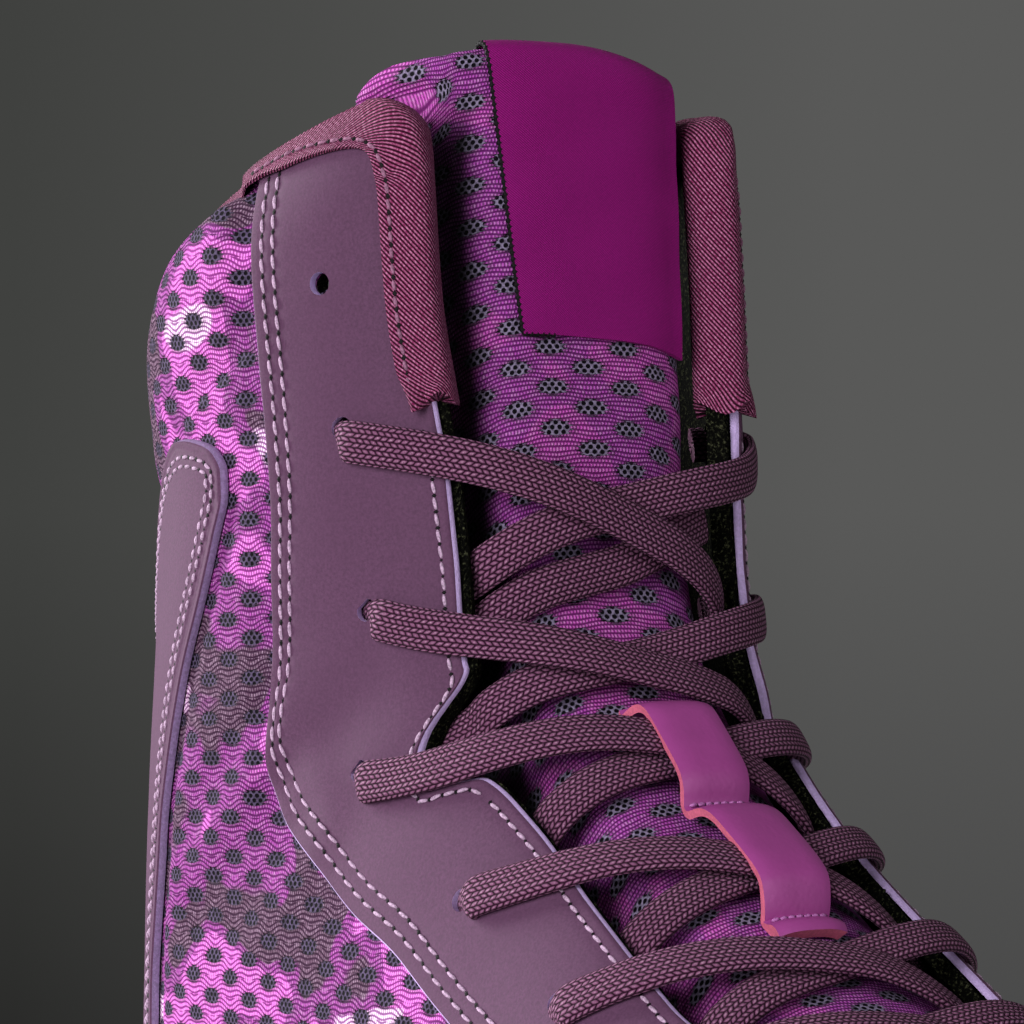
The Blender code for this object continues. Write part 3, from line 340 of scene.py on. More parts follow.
class Form:
    """The upper's outside as a function of section number and signed arc from the ridge.

    Each section is two half outlines that share the ridge: its width is a power of a cosine, and its
    height leans from the back point to the front one. Rows near the heel corner are eased into each other.
    """

    def __init__(self):
        last = len(SECTIONS) - 1
        self.s = np.linspace(0, last, last * ROWS_PER_SECTION + 1)
        turns = np.radians(np.linspace(90, -90, TURNS_PER_SIDE + 1))
        outer = self.half("outer", turns, -1)[:, ::-1]
        inner = self.half("inner", turns, 1)[:, 1:]
        self.points = np.concatenate((outer, inner), axis=1)
        self.round_heel()
        self.measure()
        self.curl_collar()
        self.measure()
        reach = np.abs(self.arc).max()
        self.even = np.arange(-reach, reach + ARC_STEP, ARC_STEP)
        self.point_rows = self.resample(self.points)
        self.normal_rows = self.resample(self.outward())

    def half(self, side, turns, sign):
        """Sections of one side from the ridge to the feather line or the heel seam."""
        value = {name: section_value(name, self.s)[:, None] for name in SECTION_COLUMNS}
        rise = np.sin(turns)[None, :]
        reach = np.clip(np.cos(turns), 0, 1)[None, :]
        reach[reach < 1e-9] = 0
        front = rise >= 0
        widest = value["widest"]
        share = np.where(front, widest + (1 - widest) * rise, widest * (1 + rise))
        wide = value[side]
        foot = value["sole_" + side]
        knots = np.array(BACK_ROUND)
        low = foot + (wide - foot) * reach ** smooth(knots[:, 0], knots[:, 1], self.s)[:, None]
        across = np.where(front, wide * reach ** value["front_round"], low)
        x = value["back_x"] + (value["front_x"] - value["back_x"]) * share
        z = value["back_z"] + (value["front_z"] - value["back_z"]) * share
        return np.stack((x, sign * across, z), axis=2)

    def round_heel(self):
        """Ease the sections into each other where they leave the feather line for the heel seam."""
        share = 1 - np.abs(np.linspace(-1, 1, 2 * TURNS_PER_SIDE + 1))
        free = np.clip(share / HEEL_EASE_LOW, 0, 1)[None, :, None] ** 2
        near = np.clip(1 - np.abs(self.s[1:-1] - HEEL_ROW) / HEEL_EASE_ROWS, 0, 1)[:, None, None]
        for _ in range(HEEL_EASE_PASSES):
            mean = 0.5 * (self.points[:-2] + self.points[2:])
            self.points[1:-1] += free * near * (mean - self.points[1:-1])

    def measure(self):
        """Signed arc of every point from the ridge of its section."""
        steps = np.linalg.norm(np.diff(self.points, axis=1), axis=2)
        length = np.concatenate((np.zeros((len(steps), 1)), np.cumsum(steps, axis=1)), axis=1)
        self.arc = length - length[:, TURNS_PER_SIDE:TURNS_PER_SIDE + 1]

    def curl_collar(self):
        """Draw the collar's rim inwards beside and behind the throat, and let go a little above it."""
        rise = np.clip((self.s - CURL_FROM) / (COLLAR_ROW - CURL_FROM), 0, 1) ** 2
        rise = rise * (1 - 0.5 * np.clip((self.s - COLLAR_ROW) / 0.6, 0, 1))
        aside = ease((np.abs(self.arc) - 24.0) / 16.0)
        self.points = self.points - COLLAR_CURL * (rise[:, None] * aside)[..., None] * self.outward()

    def outward(self):
        """Unit normals, made the same on both sides of the heel seam and straight ahead at the toe."""
        along = np.gradient(self.points, axis=0)
        across = np.gradient(self.points, axis=1)
        closed = self.s >= HEEL_ROW
        across[closed, 0] = self.points[closed, 1] - self.points[closed, -2]
        across[closed, -1] = across[closed, 0]
        normal = np.cross(across, along)
        normal[0] = (1, 0, 0)
        normal = unit(normal)
        seam = unit(normal[closed, 0] + normal[closed, -1])
        normal[closed, 0] = seam
        normal[closed, -1] = seam
        return normal

    def resample(self, values):
        """Each section's values at even arcs, with one more row drawn on at both ends."""
        rows = np.array([[np.interp(self.even, arc, column) for column in row.T]
                         for arc, row in zip(self.arc, values)]).swapaxes(1, 2)
        return np.concatenate((2 * rows[:1] - rows[1:2], rows, 2 * rows[-1:] - rows[-2:-1]))

    def sample(self, rows, s, arc):
        """Values at sections and arcs: straight between two arcs, a cubic through four rows."""
        place = np.clip(s * ROWS_PER_SECTION, 0, len(self.s) - 1 - 1e-6)
        i = place.astype(int)
        t = (place - i)[..., None]
        across = np.clip((arc - self.even[0]) / ARC_STEP, 0, len(self.even) - 1 - 1e-6)
        j = across.astype(int)
        w = (across - j)[..., None]
        a, b, c, d = ((1 - w) * rows[i + k, j] + w * rows[i + k, j + 1] for k in range(4))
        return b + 0.5 * t * (c - a + t * (2 * a - 5 * b + 4 * c - d + t * (3 * (b - c) + d - a)))

    def normal(self, s, arc):
        """Unit normals at section numbers and signed arcs."""
        s, arc = np.broadcast_arrays(np.asarray(s, float), np.asarray(arc, float))
        return unit(self.sample(self.normal_rows, s, arc))

    def at(self, s, arc, lift=0.0):
        """Points at section numbers and signed arcs, lifted along the normal."""
        s, arc, lift = np.broadcast_arrays(*(np.asarray(v, float) for v in (s, arc, lift)))
        return self.sample(self.point_rows, s, arc) + lift[..., None] * self.normal(s, arc)

    def end(self, s, side):
        """Arc of the feather line or heel seam on one side, without its sign."""
        return np.interp(s, self.s, np.abs(self.arc[:, 0 if side == "outer" else -1]))

    def side_row(self, s, side):
        """Arcs and points of the section at s on one side, from its low end to the ridge."""
        place = np.clip(s * ROWS_PER_SECTION, 0, len(self.s) - 1 - 1e-9)
        i = int(place)
        w = place - i
        arcs = (1 - w) * self.arc[i] + w * self.arc[i + 1]
        points = (1 - w) * self.points[i] + w * self.points[i + 1]
        half = slice(TURNS_PER_SIDE + 1) if side == "outer" else slice(None, TURNS_PER_SIDE - 1, -1)
        return np.abs(arcs[half]), points[half]

    def moved(self, s, arc, way):
        """Sections and arcs reached by short steps along the surface, by least squares in its two ways."""
        down = (self.at(s + 0.02, arc) - self.at(s - 0.02, arc)) / 0.04
        over = (self.at(s, arc + 0.5) - self.at(s, arc - 0.5)) / 1.0
        dd, do, oo = (np.sum(p * q, axis=-1) for p, q in ((down, down), (down, over), (over, over)))
        wd, wo = (np.sum(way * q, axis=-1) for q in (down, over))
        share = np.maximum(dd * oo - do * do, 1e-9)
        return s + (wd * oo - wo * do) / share, arc + (wo * dd - wd * do) / share


FORM = Form()


def wall(s):
    """Thickness of the upper: thin over the foot, padded up the shaft."""
    return FOOT_WALL + (SHAFT_WALL - FOOT_WALL) * np.clip((s - 5.0) / 4.0, 0, 1)


def throat_edge(s, side):
    """Arc of the throat's edge; nothing is open in front of the throat."""
    return np.where(np.asarray(s) > THROAT[0][0], lookup(THROAT, SIDE_COLUMNS, side, s), 0.0)


def facing_edge(s, side):
    """Arc of the eyestay's rear edge."""
    return lookup(FACING, SIDE_COLUMNS, side, s)


def lip_clear(s, side):
    """Arcs just above the sole's lip, or at the heel seam where that is higher."""
    row = np.minimum(s, HEEL_ROW)
    heights = section_value("back_z", row) + lookup(LIP, LIP_COLUMNS, "height", row) + 0.5
    found = []
    for one, height in zip(s, heights):
        arcs, points = FORM.side_row(one, side)
        found.append(np.interp(height, points[:, 2], arcs))
    return np.array(found)


def counter_edge(s, side):
    """Arcs of the counter's front edge; it lies at the lip where there is no counter."""
    found = []
    for one in s:
        arcs, points = FORM.side_row(one, side)
        ahead = points[:, 0] - lookup(COUNTER, COUNTER_COLUMNS, "front_x", points[:, 2])
        found.append(np.interp(0.0, ahead, arcs))
    below = np.clip(1 - (COUNTER_TOP - s) * ROW_HEIGHT / EAR_ROUND, 0, 1)
    corner = EAR_ROUND * (1 - np.sqrt(1 - below ** 2))
    return np.minimum(np.array(found) + corner, lip_clear(s, side))


def counter_lean(s, arc, side):
    """Sections and arcs of the counter with its top edge let down towards the back, out to the heel seam."""
    behind = np.abs(arc) - counter_edge(np.array((COUNTER_TOP,)), side)[0]
    lower = s - EAR_FALL * ease((behind + 1.0) / 22.0) * ease((s - 12.0) / (COUNTER_TOP - 12.0))
    rows = np.linspace(COUNTER_START, COUNTER_TOP, 60)
    ends = lip_clear(rows, side)
    return lower, arc * np.interp(lower, rows, ends) / np.interp(s, rows, ends)


def tongue_face(s):
    """Lift of the tongue's plain face."""
    return -lookup(TONGUE, TONGUE_COLUMNS, "depth", s)


def sag(s, arc):
    """Lift of the soft troughs and the ridges beside them, on both sides of the shoe."""
    points = FORM.at(s, np.abs(arc) * -1.0)
    lift = np.zeros(points.shape[:-1])
    for crease in CREASES:
        value = dict(zip(CREASE_COLUMNS, crease))
        t = np.linspace(0, 1, 9)
        line = FORM.at(value["from_section"] + t * (value["to_section"] - value["from_section"]),
                       -(value["from_arc"] + t * (value["to_arc"] - value["from_arc"])))
        away = np.full(lift.shape, 1e9)
        for a, b in zip(line[:-1], line[1:]):
            along = np.clip(((points - a) @ (b - a)) / ((b - a) @ (b - a)), 0, 1)[..., None]
            away = np.minimum(away, np.linalg.norm(points - a - along * (b - a), axis=-1))
        away = away / value["width"]
        lift += value["depth"] * (0.5 * np.exp(-(away - 1.8) ** 2) - np.exp(-away ** 2))
    return lift


# Meshes

def grid_triangles(rows, cols):
    """Two triangles for each cell of a grid of points, as an array of cells."""
    k = np.arange(rows * cols).reshape(rows, cols)
    a, b, c, d = k[:-1, :-1], k[:-1, 1:], k[1:, 1:], k[1:, :-1]
    return np.stack((np.stack((a, b, c), -1), np.stack((a, c, d), -1)), axis=2)


def weld(points, triangles):
    """Join points that lie in one place and drop the triangles that this closes up. Gives the rows of the
    points kept, the triangles, and which of them were kept."""
    _, first, back = np.unique(np.round(points, 3) + 0.0, axis=0, return_index=True, return_inverse=True)
    tri = back.ravel()[triangles]
    whole = (tri[:, 0] != tri[:, 1]) & (tri[:, 1] != tri[:, 2]) & (tri[:, 2] != tri[:, 0])
    return first, tri[whole], whole


def stacked(parts):
    """Points of several parts in one array, and the triangles of each with their rows moved on."""
    starts = np.cumsum([0] + [len(points) for points, _ in parts])
    return np.concatenate([p for p, _ in parts]), [tri + start for (_, tri), start in zip(parts, starts)]


def flat_grid(u, v):
    """Flat coordinates of a grid of points, one row for each point."""
    return np.stack(np.broadcast_arrays(u, v), axis=-1).reshape(-1, 2)


def run_length(points):
    """Length along a line of points, from nought."""
    steps = np.linalg.norm(np.diff(points, axis=0), axis=-1)
    return np.concatenate((np.zeros((1,) + steps.shape[1:]), np.cumsum(steps, axis=0)))


def line_at(places, length, line):
    """Points of a line at places along its length."""
    return np.stack([np.interp(places, length, column) for column in line.T], axis=-1)


def shell(tops, unders, triangles, marked=None):
    """A closed sheet from outer and under points that share triangles. A wall joins the two skins along
    every edge that only one triangle uses. Gives points, the outer, under and wall triangles, and the rows
    of the points kept. Marked outer triangles go with the wall."""
    first, tri, whole = weld(tops, triangles)
    marked = np.zeros(len(tri), bool) if marked is None else marked[whole]
    count = len(first)
    edges = np.concatenate((tri[:, [0, 1]], tri[:, [1, 2]], tri[:, [2, 0]]))
    back_way = edges[:, 1] * count + edges[:, 0]
    lone = edges[~np.isin(edges[:, 0] * count + edges[:, 1], back_way)]
    a, b = lone[:, 0], lone[:, 1]
    walls = np.concatenate((np.stack((b, a, a + count), -1), np.stack((b, a + count, b + count), -1)))
    groups = [tri[~marked], tri[:, ::-1] + count, np.concatenate((walls, tri[marked]))]
    return np.concatenate((tops[first], unders[first])), groups, np.tile(first, 2)


def swept(rings):
    """Points and triangles of rings of equal size with a fan on both ends, and the same triangles on a grid
    that isn't wrapped, for flat coordinates."""
    n, m = rings.shape[:2]
    k = np.arange(n * m).reshape(n, m)
    wrapped = np.concatenate((k, k[:, :1]), axis=1).ravel()
    flat = grid_triangles(n, m + 1).reshape(-1, 3)
    j = np.arange(m)
    last = (n - 1) * (m + 1) + j
    fans = np.concatenate((np.stack((j + 1, j), -1), np.stack((last, last + 1), -1)))
    hubs = np.repeat((n * m, n * m + 1), m)[:, None]
    points = np.concatenate((rings.reshape(-1, 3), rings[:1].mean(axis=1), rings[-1:].mean(axis=1)))
    solid = np.concatenate((wrapped[flat], np.concatenate((hubs, wrapped[fans]), axis=1)))
    return points, solid, np.concatenate((flat, np.concatenate((fans[:, :1], fans), axis=1)))


def add_object(name, data):
    """A new object in the scene."""
    thing = bpy.data.objects.new(name, data)
    bpy.context.scene.collection.objects.link(thing)
    return thing


def piece(name, points, groups, finishes, flat=None, nodes=(), turn_out=False, sharp=50.0):
    """One mesh piece from points in mm and groups of triangles with a named finish each; flat holds each
    corner's flat coordinates in mm. The piece rides on the body and stands for the named solids."""
    tri = np.concatenate(groups)
    used, back = np.unique(tri, return_inverse=True)
    tri = back.reshape(-1, 3)
    mesh = bpy.data.meshes.new(name)
    mesh.vertices.add(len(used))
    mesh.vertices.foreach_set("co", ((points[used] - ORIGIN) * MM).astype(np.float32).ravel())
    mesh.loops.add(tri.size)
    mesh.loops.foreach_set("vertex_index", tri.astype(np.int32).ravel())
    mesh.polygons.add(len(tri))
    mesh.polygons.foreach_set("loop_start", np.arange(0, tri.size, 3, dtype=np.int32))
    index = np.repeat(np.arange(len(groups)), [len(group) for group in groups])
    mesh.polygons.foreach_set("material_index", index.astype(np.int32))
    mesh.polygons.foreach_set("use_smooth", np.ones(len(tri), bool))
    if flat is not None:
        layer = mesh.uv_layers.new(name="cloth")
        layer.uv.foreach_set("vector", np.asarray(flat, np.float32).reshape(-1))
    for label in finishes:
        mesh.materials.append(finish(label))
    mesh.update(calc_edges=True)
    mesh.validate()
    if turn_out:
        work = bmesh.new()
        work.from_mesh(mesh)
        bmesh.ops.recalc_face_normals(work, faces=work.faces)
        work.to_mesh(mesh)
        work.free()
    mesh.set_sharp_from_angle(angle=math.radians(sharp))
    thing = add_object(name, mesh)
    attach(thing, BODY)
    if nodes:
        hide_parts(*nodes)
    return thing


def hole_list():
    """Section and signed arc of every lace hole."""
    return [(row[0], sign * row[SIDE_COLUMNS.index(side)]) for row in HOLES for side, sign in SIDES]


def punch(s, arc, lifts, keep, reach):
    """Round holes in a grid: the cells round each hole go, and rings of new points run from the gap's edge to
    the circle. Gives the new points of each lift and their triangles."""
    rows, cols = s.shape
    layers = [FORM.at(s, arc, lift) for lift in lifts]
    mids = [np.broadcast_to(lift, s.shape) for lift in lifts]
    k = np.arange(rows * cols).reshape(rows, cols)
    extra, triangles, count = [[] for _ in lifts], [], rows * cols
    for hole_s, hole_arc in hole_list():
        middle = FORM.at(hole_s, hole_arc)
        i, j = np.unravel_index(np.argmin(np.linalg.norm(FORM.at(s, arc) - middle, axis=-1)), s.shape)
        keep[i - reach:i + reach, j - reach:j + reach] = False
        block = k[i - reach:i + reach + 1, j - reach:j + reach + 1]
        loop = np.concatenate((block[0, :-1], block[:-1, -1], block[-1, :0:-1], block[:0:-1, 0]))
        size_of_loop = len(loop)
        normal = FORM.normal(hole_s, hole_arc)
        for layer, mid, more in zip(layers, mids, extra):
            centre = middle + mid[i, j] * normal
            edge = layer.reshape(-1, 3)[loop]
            way = edge - centre
            way = unit(way - (way @ normal)[:, None] * normal)
            circle = centre + HOLE_RADIUS * way
            for t in (0.4, 0.75, 1.0):
                more.append(edge + t * (circle - edge))
        around = [loop] + [count + n * size_of_loop + np.arange(size_of_loop) for n in range(3)]
        count += 3 * size_of_loop
        for near, far in zip(around[:-1], around[1:]):
            after, far_after = np.roll(near, -1), np.roll(far, -1)
            triangles += [np.stack((near, after, far_after), -1), np.stack((near, far_after, far), -1)]
    return [np.concatenate(more) for more in extra], np.concatenate(triangles)


def sheet_piece(name, s, arc, low, high, keep, finishes, nodes=(), punched=0, flat=None,
                sharp=50.0, marked=None):
    """A thick sheet on the form over a grid of sections and arcs, between two lifts, with the lace holes."""
    rows, cols = s.shape
    tops = FORM.at(s, arc, high).reshape(-1, 3)
    unders = FORM.at(s, arc, low).reshape(-1, 3)
    cloth = np.zeros((rows * cols, 2)) if flat is None else flat.reshape(-1, 2)
    more = np.zeros((0, 3), int)
    if punched:
        (new_tops, new_unders), more = punch(s, arc, (high, low), keep, punched)
        cloth = np.concatenate((cloth, cloth[nearest_rows(new_tops, tops)]))
        tops = np.concatenate((tops, new_tops))
        unders = np.concatenate((unders, new_unders))
    triangles = np.concatenate((grid_triangles(rows, cols)[keep].reshape(-1, 3), more))
    flags = np.zeros(len(triangles), bool)
    if marked is not None:
        flags[:2 * keep.sum()] = np.repeat(marked[keep], 2)
    points, groups, rows_kept = shell(tops, unders, triangles, flags)
    corners = cloth[rows_kept[np.concatenate(groups)]]
    return piece(name, points, groups, finishes, corners, nodes, sharp=sharp)


def nearest_rows(points, cloud):
    """Row of the nearest point of a cloud for each point, a block of points at a time."""
    best = np.zeros(len(points), int)
    for n in range(0, len(points), 200):
        away = np.sum((points[n:n + 200, None, :] - cloud[None, :, :]) ** 2, axis=-1)
        best[n:n + 200] = np.argmin(away, axis=1)
    return best


# Finishes

class Value:
    """A shader socket whose sums and products add Math nodes."""

    def __init__(self, owner, socket):
        self.owner = owner
        self.socket = socket

    def math(self, operation, *others):
        """Add a Math node whose first input is this socket."""
        return self.owner.node("ShaderNodeMath", {"operation": operation}, dict(enumerate((self,) + others)))

    def __rsub__(self, first):
        return self.owner.node("ShaderNodeMath", {"operation": "SUBTRACT"}, {0: first, 1: self})

    def __neg__(self):
        return self.math("MULTIPLY", -1.0)

    __add__ = __radd__ = partialmethod(math, "ADD")
    __sub__ = partialmethod(math, "SUBTRACT")
    __mul__ = __rmul__ = partialmethod(math, "MULTIPLY")
    __truediv__ = partialmethod(math, "DIVIDE")
    __pow__ = partialmethod(math, "POWER")
    fract = partialmethod(math, "FRACT")
    floor = partialmethod(math, "FLOOR")
    cos = partialmethod(math, "COSINE")
    sin = partialmethod(math, "SINE")
    exp = partialmethod(math, "EXPONENT")
    least = partialmethod(math, "MINIMUM")
    most = partialmethod(math, "MAXIMUM")

    def step(self, low, high):
        """Soft step from nought at low to one at high."""
        kind = {"interpolation_type": "SMOOTHSTEP", "clamp": True}
        if low < high:
            return self.owner.node("ShaderNodeMapRange", kind, {0: self, 1: low, 2: high, 3: 0.0, 4: 1.0})
        return self.owner.node("ShaderNodeMapRange", kind, {0: self, 1: high, 2: low, 3: 1.0, 4: 0.0})


class Nodes:
    """A node tree, with one method that adds any node."""

    def __init__(self, tree):
        self.tree = tree

    def node(self, kind, settings=(), inputs=(), output=0):
        """Add a node: its settings first, then values or links for its sockets."""
        made = self.tree.nodes.new(kind)
        for key, value in dict(settings).items():
            setattr(made, key, value)
        for key, value in dict(inputs).items():
            if isinstance(value, Value):
                self.tree.links.new(value.socket, made.inputs[key])
            else:
                made.inputs[key].default_value = value
        return Value(self, made.outputs[output])

    def mix(self, share, low, high):
        """Colour between two others."""
        def full(c):
            return c if isinstance(c, Value) else tuple(c) + (1.0,)
        return self.node("ShaderNodeMix", {"data_type": "RGBA"}, {0: share, 6: full(low), 7: full(high)}, 2)


class Finish(Nodes):
    """One material: a principled shader and the nodes that feed it."""

    def __init__(self, name, **constants):
        self.material = bpy.data.materials.new(name)
        self.material.use_nodes = True
        super().__init__(self.material.node_tree)
        self.shader = self.tree.nodes["Principled BSDF"]
        for key, value in constants.items():
            self.shader.inputs[key.replace("_", " ")].default_value = value

    def place(self):
        """Object coordinates, in metres."""
        return self.node("ShaderNodeTexCoord", output="Object")

    def cloth(self):
        """The piece's flat coordinates, in mm."""
        flat = self.node("ShaderNodeUVMap", {"uv_map": "cloth"})
        split = self.node("ShaderNodeSeparateXYZ", inputs={0: flat})
        return split, Value(self, split.socket.node.outputs[1])

    def noise(self, at, grain, detail=2.0, rough=0.5, bend=0.0):
        """Noise from nought to one whose spots are about grain mm across."""
        return self.node("ShaderNodeTexNoise", {}, {"Vector": at, "Scale": 1 / (grain * MM), "Detail": detail,
                                                    "Roughness": rough, "Distortion": bend})

    def set(self, socket, value):
        """Feed a socket of the shader."""
        self.tree.links.new(value.socket, self.shader.inputs[socket])

    def relief(self, height):
        """Bump from a height in mm."""
        self.set("Normal", self.node("ShaderNodeBump", {}, {"Height": height, "Distance": MM}))


def shade(c, share):
    """A colour made darker or lighter."""
    return tuple(min(1.0, x * share) for x in c)


# Distances between pinholes of the backing, mm, the shade between the knit's courses, and where in the
# noise the camouflage is taken from, m
PIN_ACROSS, PIN_ALONG = 1.03, 1.4
KNIT_GAPS = (0.3, 0.15, 0.315)
PATCH_SHIFT = (0.31, 0.12, 0.07)
# Painted shadow on the tongue's sides beside the throat's edges: flat widths to the outer and inner side, mm,
# and the sections of notch and end
SHADOW_OUTER, SHADOW_INNER, SHADOW_NOTCH, SHADOW_END = 13.3, 15.8, 8.2, 14.9


def staggered(u, v, across, along):
    """Places within the cells of two grids, the second one half a cell on both ways."""
    return [(((u / across + shift).fract() - 0.5) * across, ((v / along + shift).fract() - 0.5) * along)
            for shift in (0.0, 0.5)]


def knit_finish(name, course_size, oval_size, bends, loop_share, backing, tones, levels, painted_shadow=None):
    """Camouflage knit: courses that wave and bend round two staggered sets of ovals, where grey backing with
    pinholes shows. Bends are how far the courses wave and part; tones are the main, dark, bright and pale
    colour, and levels the noise at which the last three begin. Painted shade lies in the gaps between courses
    and round each oval, and painted glints lie on the yarn's crests, mixed with fibre speckle in the backing.
    The last argument gives the widths beyond which the cloth is painted dark as a shadow beside the throat,
    and the lengths of the notch and of that painted shadow's end."""
    c = colours()
    f = Finish(name, Roughness=0.75, Sheen_Weight=0.01, Specular_IOR_Level=0.05)
    u, v = f.cloth()
    across, along = millimetres("oval_across"), millimetres("oval_along")
    half_wide, half_high = oval_size / 2, millimetres("oval_height") / 2
    cells = staggered(u, v, across, along)
    first, second = (x * x / half_wide ** 2 + y * y / half_high ** 2 for x, y in cells)
    away = first.least(second)
    bend = sum(y * (-(x * x / 11.0 + y * y / 3.8)).exp() for x, y in cells)
    wave = (u * (4 * math.pi / across)).cos()
    course = (v + bends[0] * wave + bends[1] * bend) / course_size
    row = (course + 0.5).floor()
    yarn = (0.5 + 0.5 * (course * (2 * math.pi)).cos()).step(0.0, 0.7)
    loops = (0.5 + 0.5 * ((u / millimetres("loop") + row * 0.5) * (2 * math.pi)).cos()).step(0.05, 0.75)
    thread = yarn * (1 - loop_share + loop_share * loops)
    oval = (away + 0.35 * yarn).step(1.35, 1.0)
    rim = away.step(2.4, 1.1) * (1 - oval)
    first, second = (x * x + y * y for x, y in staggered(u, v, PIN_ACROSS, PIN_ALONG))
    pin = first.least(second).step(0.13, 0.06) * oval
    place = f.place()
    moved = f.node("ShaderNodeVectorMath", {"operation": "ADD"}, {0: place, 1: PATCH_SHIFT})
    patch = f.noise(moved, 26.0, 1.6, 0.5, 0.8)
    spots = f.noise(place, 21.0, 1.0, 0.4, 0.5)
    glint_speckle = f.noise(place, 0.55, 2.0, 0.6)
    main, dark, bright, pale = tones
    base = f.mix(patch.step(levels[0] + 0.012, levels[0] - 0.006), main, dark)
    base = f.mix(patch.step(levels[1], levels[1] + 0.014), base, bright)
    base = f.mix(spots.step(levels[2], levels[2] + 0.014), base, pale)
    # painted shade in the gaps between courses and painted highlight on the yarn's crests
    lit = f.node("ShaderNodeMix", {"data_type": "RGBA", "blend_type": "MULTIPLY"},
                 {0: 1.0, 6: base, 7: f.mix(thread, KNIT_GAPS, (1.5, 1.5, 1.5))}, 2)
    # painted glints: pale specks on the yarn's crests
    lit = f.mix(glint_speckle.step(0.4, 0.7) * thread * 0.6, lit, f.mix(0.5, base, c.knit_pale))
    # painted shade in a ring round each oval's recess
    lit = f.mix(rim * 0.3, lit, shade(c.knit_dark, 0.4))
    # the backing's light and dark speckle: partly fibre, partly painted glints
    netted = f.mix(glint_speckle.step(0.3, 0.7), shade(backing, 0.5), shade(backing, 1.3))
    netted = f.mix(pin, netted, (0.004, 0.003, 0.005))
    tone = f.mix(oval, lit, netted)
    # painted shadow: beside the throat's edges the tongue's colour is taken nearly to black, standing in for
    # the walls' shadow
    if painted_shadow:
        later = 4.5 * v.step(painted_shadow[2] + 4.0, painted_shadow[2] - 4.0)
        dim = (u + painted_shadow[0] + later).step(0.0, -3.6).most((u - painted_shadow[1] - later).step(0.0, 3.6))
        dim = dim * v.step(painted_shadow[3] + 5.0, painted_shadow[3] - 5.0)
        tone = f.mix(0.94 * dim, tone, (0.0, 0.0, 0.0))
    f.set("Base Color", tone)
    f.relief(0.2 * thread * (1 - oval) - 0.42 * oval - 0.35 * pin + 0.1 * rim)
    return f


def side_knit():
    """Knit of the upper, with large patches."""
    c = colours()
    return knit_finish("side knit", millimetres("side_course"), millimetres("side_oval"), (0.3, 0.6), 0.8,
                       c.backing, (c.knit, c.knit_dark, c.knit_bright, c.knit_pale), (0.45, 0.53, 0.665))


def tongue_knit():
    """Knit of the tongue, with a painted shadow that darkens it beside the throat's edges up to the collar.
    """
    c = colours()
    rows = np.linspace(TONGUE[0][0], SHADOW_END, 400)
    climb = run_length(FORM.at(rows, 0.0))
    notch = np.interp(SHADOW_NOTCH, rows, climb)
    return knit_finish("tongue knit", millimetres("tongue_course"), millimetres("tongue_oval"), (0.06, 0.3),
                       0.75, c.tongue_backing, (c.tongue, c.tongue_dark, c.knit_bright, c.knit_pale),
                       (0.48, 0.7, 0.74), (SHADOW_OUTER, SHADOW_INNER, notch, climb[-1]))


def microfibre_finish():
    """Matte nubuck: fine speckle over slow clouds, with a soft bloom."""
    c = colours().microfibre
    f = Finish("plum microfibre", Roughness=0.7, Sheen_Weight=0.02, Specular_IOR_Level=0.1)
    place = f.place()
    grain = f.noise(place, 0.42, 3.0, 0.65)
    cloud = f.noise(place, 16.0, 3.0, 0.5)
    tone = f.mix(grain.step(0.25, 0.75), shade(c, 0.78), shade(c, 1.2))
    f.set("Base Color", f.mix(cloud.step(0.3, 0.7) * 0.4, tone, shade(c, 0.9)))
    f.set("Roughness", 0.6 + 0.16 * grain)
    f.relief(0.05 * grain + 0.03 * f.noise(place, 1.6, 2.0))
    return f


def edge_finish(name, c, dirty=0.35):
    """Cut edge of a sheet: pale fibres with darker streaks."""
    f = Finish(name, Roughness=0.8)
    place = f.place()
    fibre = f.noise(place, 0.5, 3.0, 0.7)
    streak = f.noise(place, 4.0, 2.0)
    f.set("Base Color", f.mix(fibre.step(0.35, 0.7), shade(c, 1 - dirty), c))
    f.relief(0.12 * fibre + 0.06 * streak)
    return f


def lining_finish():
    """Black brushed lining: short fuzz with a few lighter fibres."""
    c = colours()
    f = Finish("brushed lining", Roughness=0.95, Specular_IOR_Level=0.03)
    place = f.place()
    fuzz = f.noise(place, 0.5, 4.0, 0.7)
    f.set("Base Color", f.mix(fuzz.step(0.52, 0.72), c.lining, c.fluff))
    f.relief(0.35 * fuzz)
    return f


def thread_finish(name, c):
    """Twisted thread."""
    f = Finish(name, Roughness=0.6, Sheen_Weight=0.02, Specular_IOR_Level=0.1)
    twist = f.noise(f.place(), 0.35, 2.0, 0.6)
    f.set("Base Color", f.mix(twist.step(0.3, 0.65), shade(c, 0.5), c))
    f.relief(0.06 * twist)
    return f


def braid_finish():
    """Flat braid: columns of short plaits that lean to alternate sides; every other column lies lower. The
    dips between plaits are painted in shade and the crests carry a painted highlight.
    """
    c = colours()
    f = Finish("plum braid", Roughness=0.6, Sheen_Weight=0.02, Specular_IOR_Level=0.08)
    u, v = f.cloth()
    column = v / millimetres("plait_width")
    lean = 1 - 2 * (column.floor() / 2).fract() * 2
    across = column.fract()
    along = (u / millimetres("plait") + lean * (across - 0.5) * 0.5 + lean * 0.25).fract()
    plait = (along * math.pi).sin() * (across * math.pi).sin()
    height = plait.most(0.0) ** 0.5 * (0.97 + 0.03 * lean)
    fibre = f.noise(f.place(), 0.3, 2.0, 0.6)
    # painted shade in the dips, then a painted highlight on the crests
    tone = f.mix(height.step(0.3, 0.85), c.braid_dip_shade, c.braid)
    tone = f.mix(height.step(0.75, 1.0) * fibre.step(0.35, 0.7) * 0.55, tone, c.braid_highlight)
    f.set("Base Color", tone)
    f.set("Roughness", 0.75 - 0.2 * height)
    f.relief(0.34 * height + 0.05 * fibre)
    return f


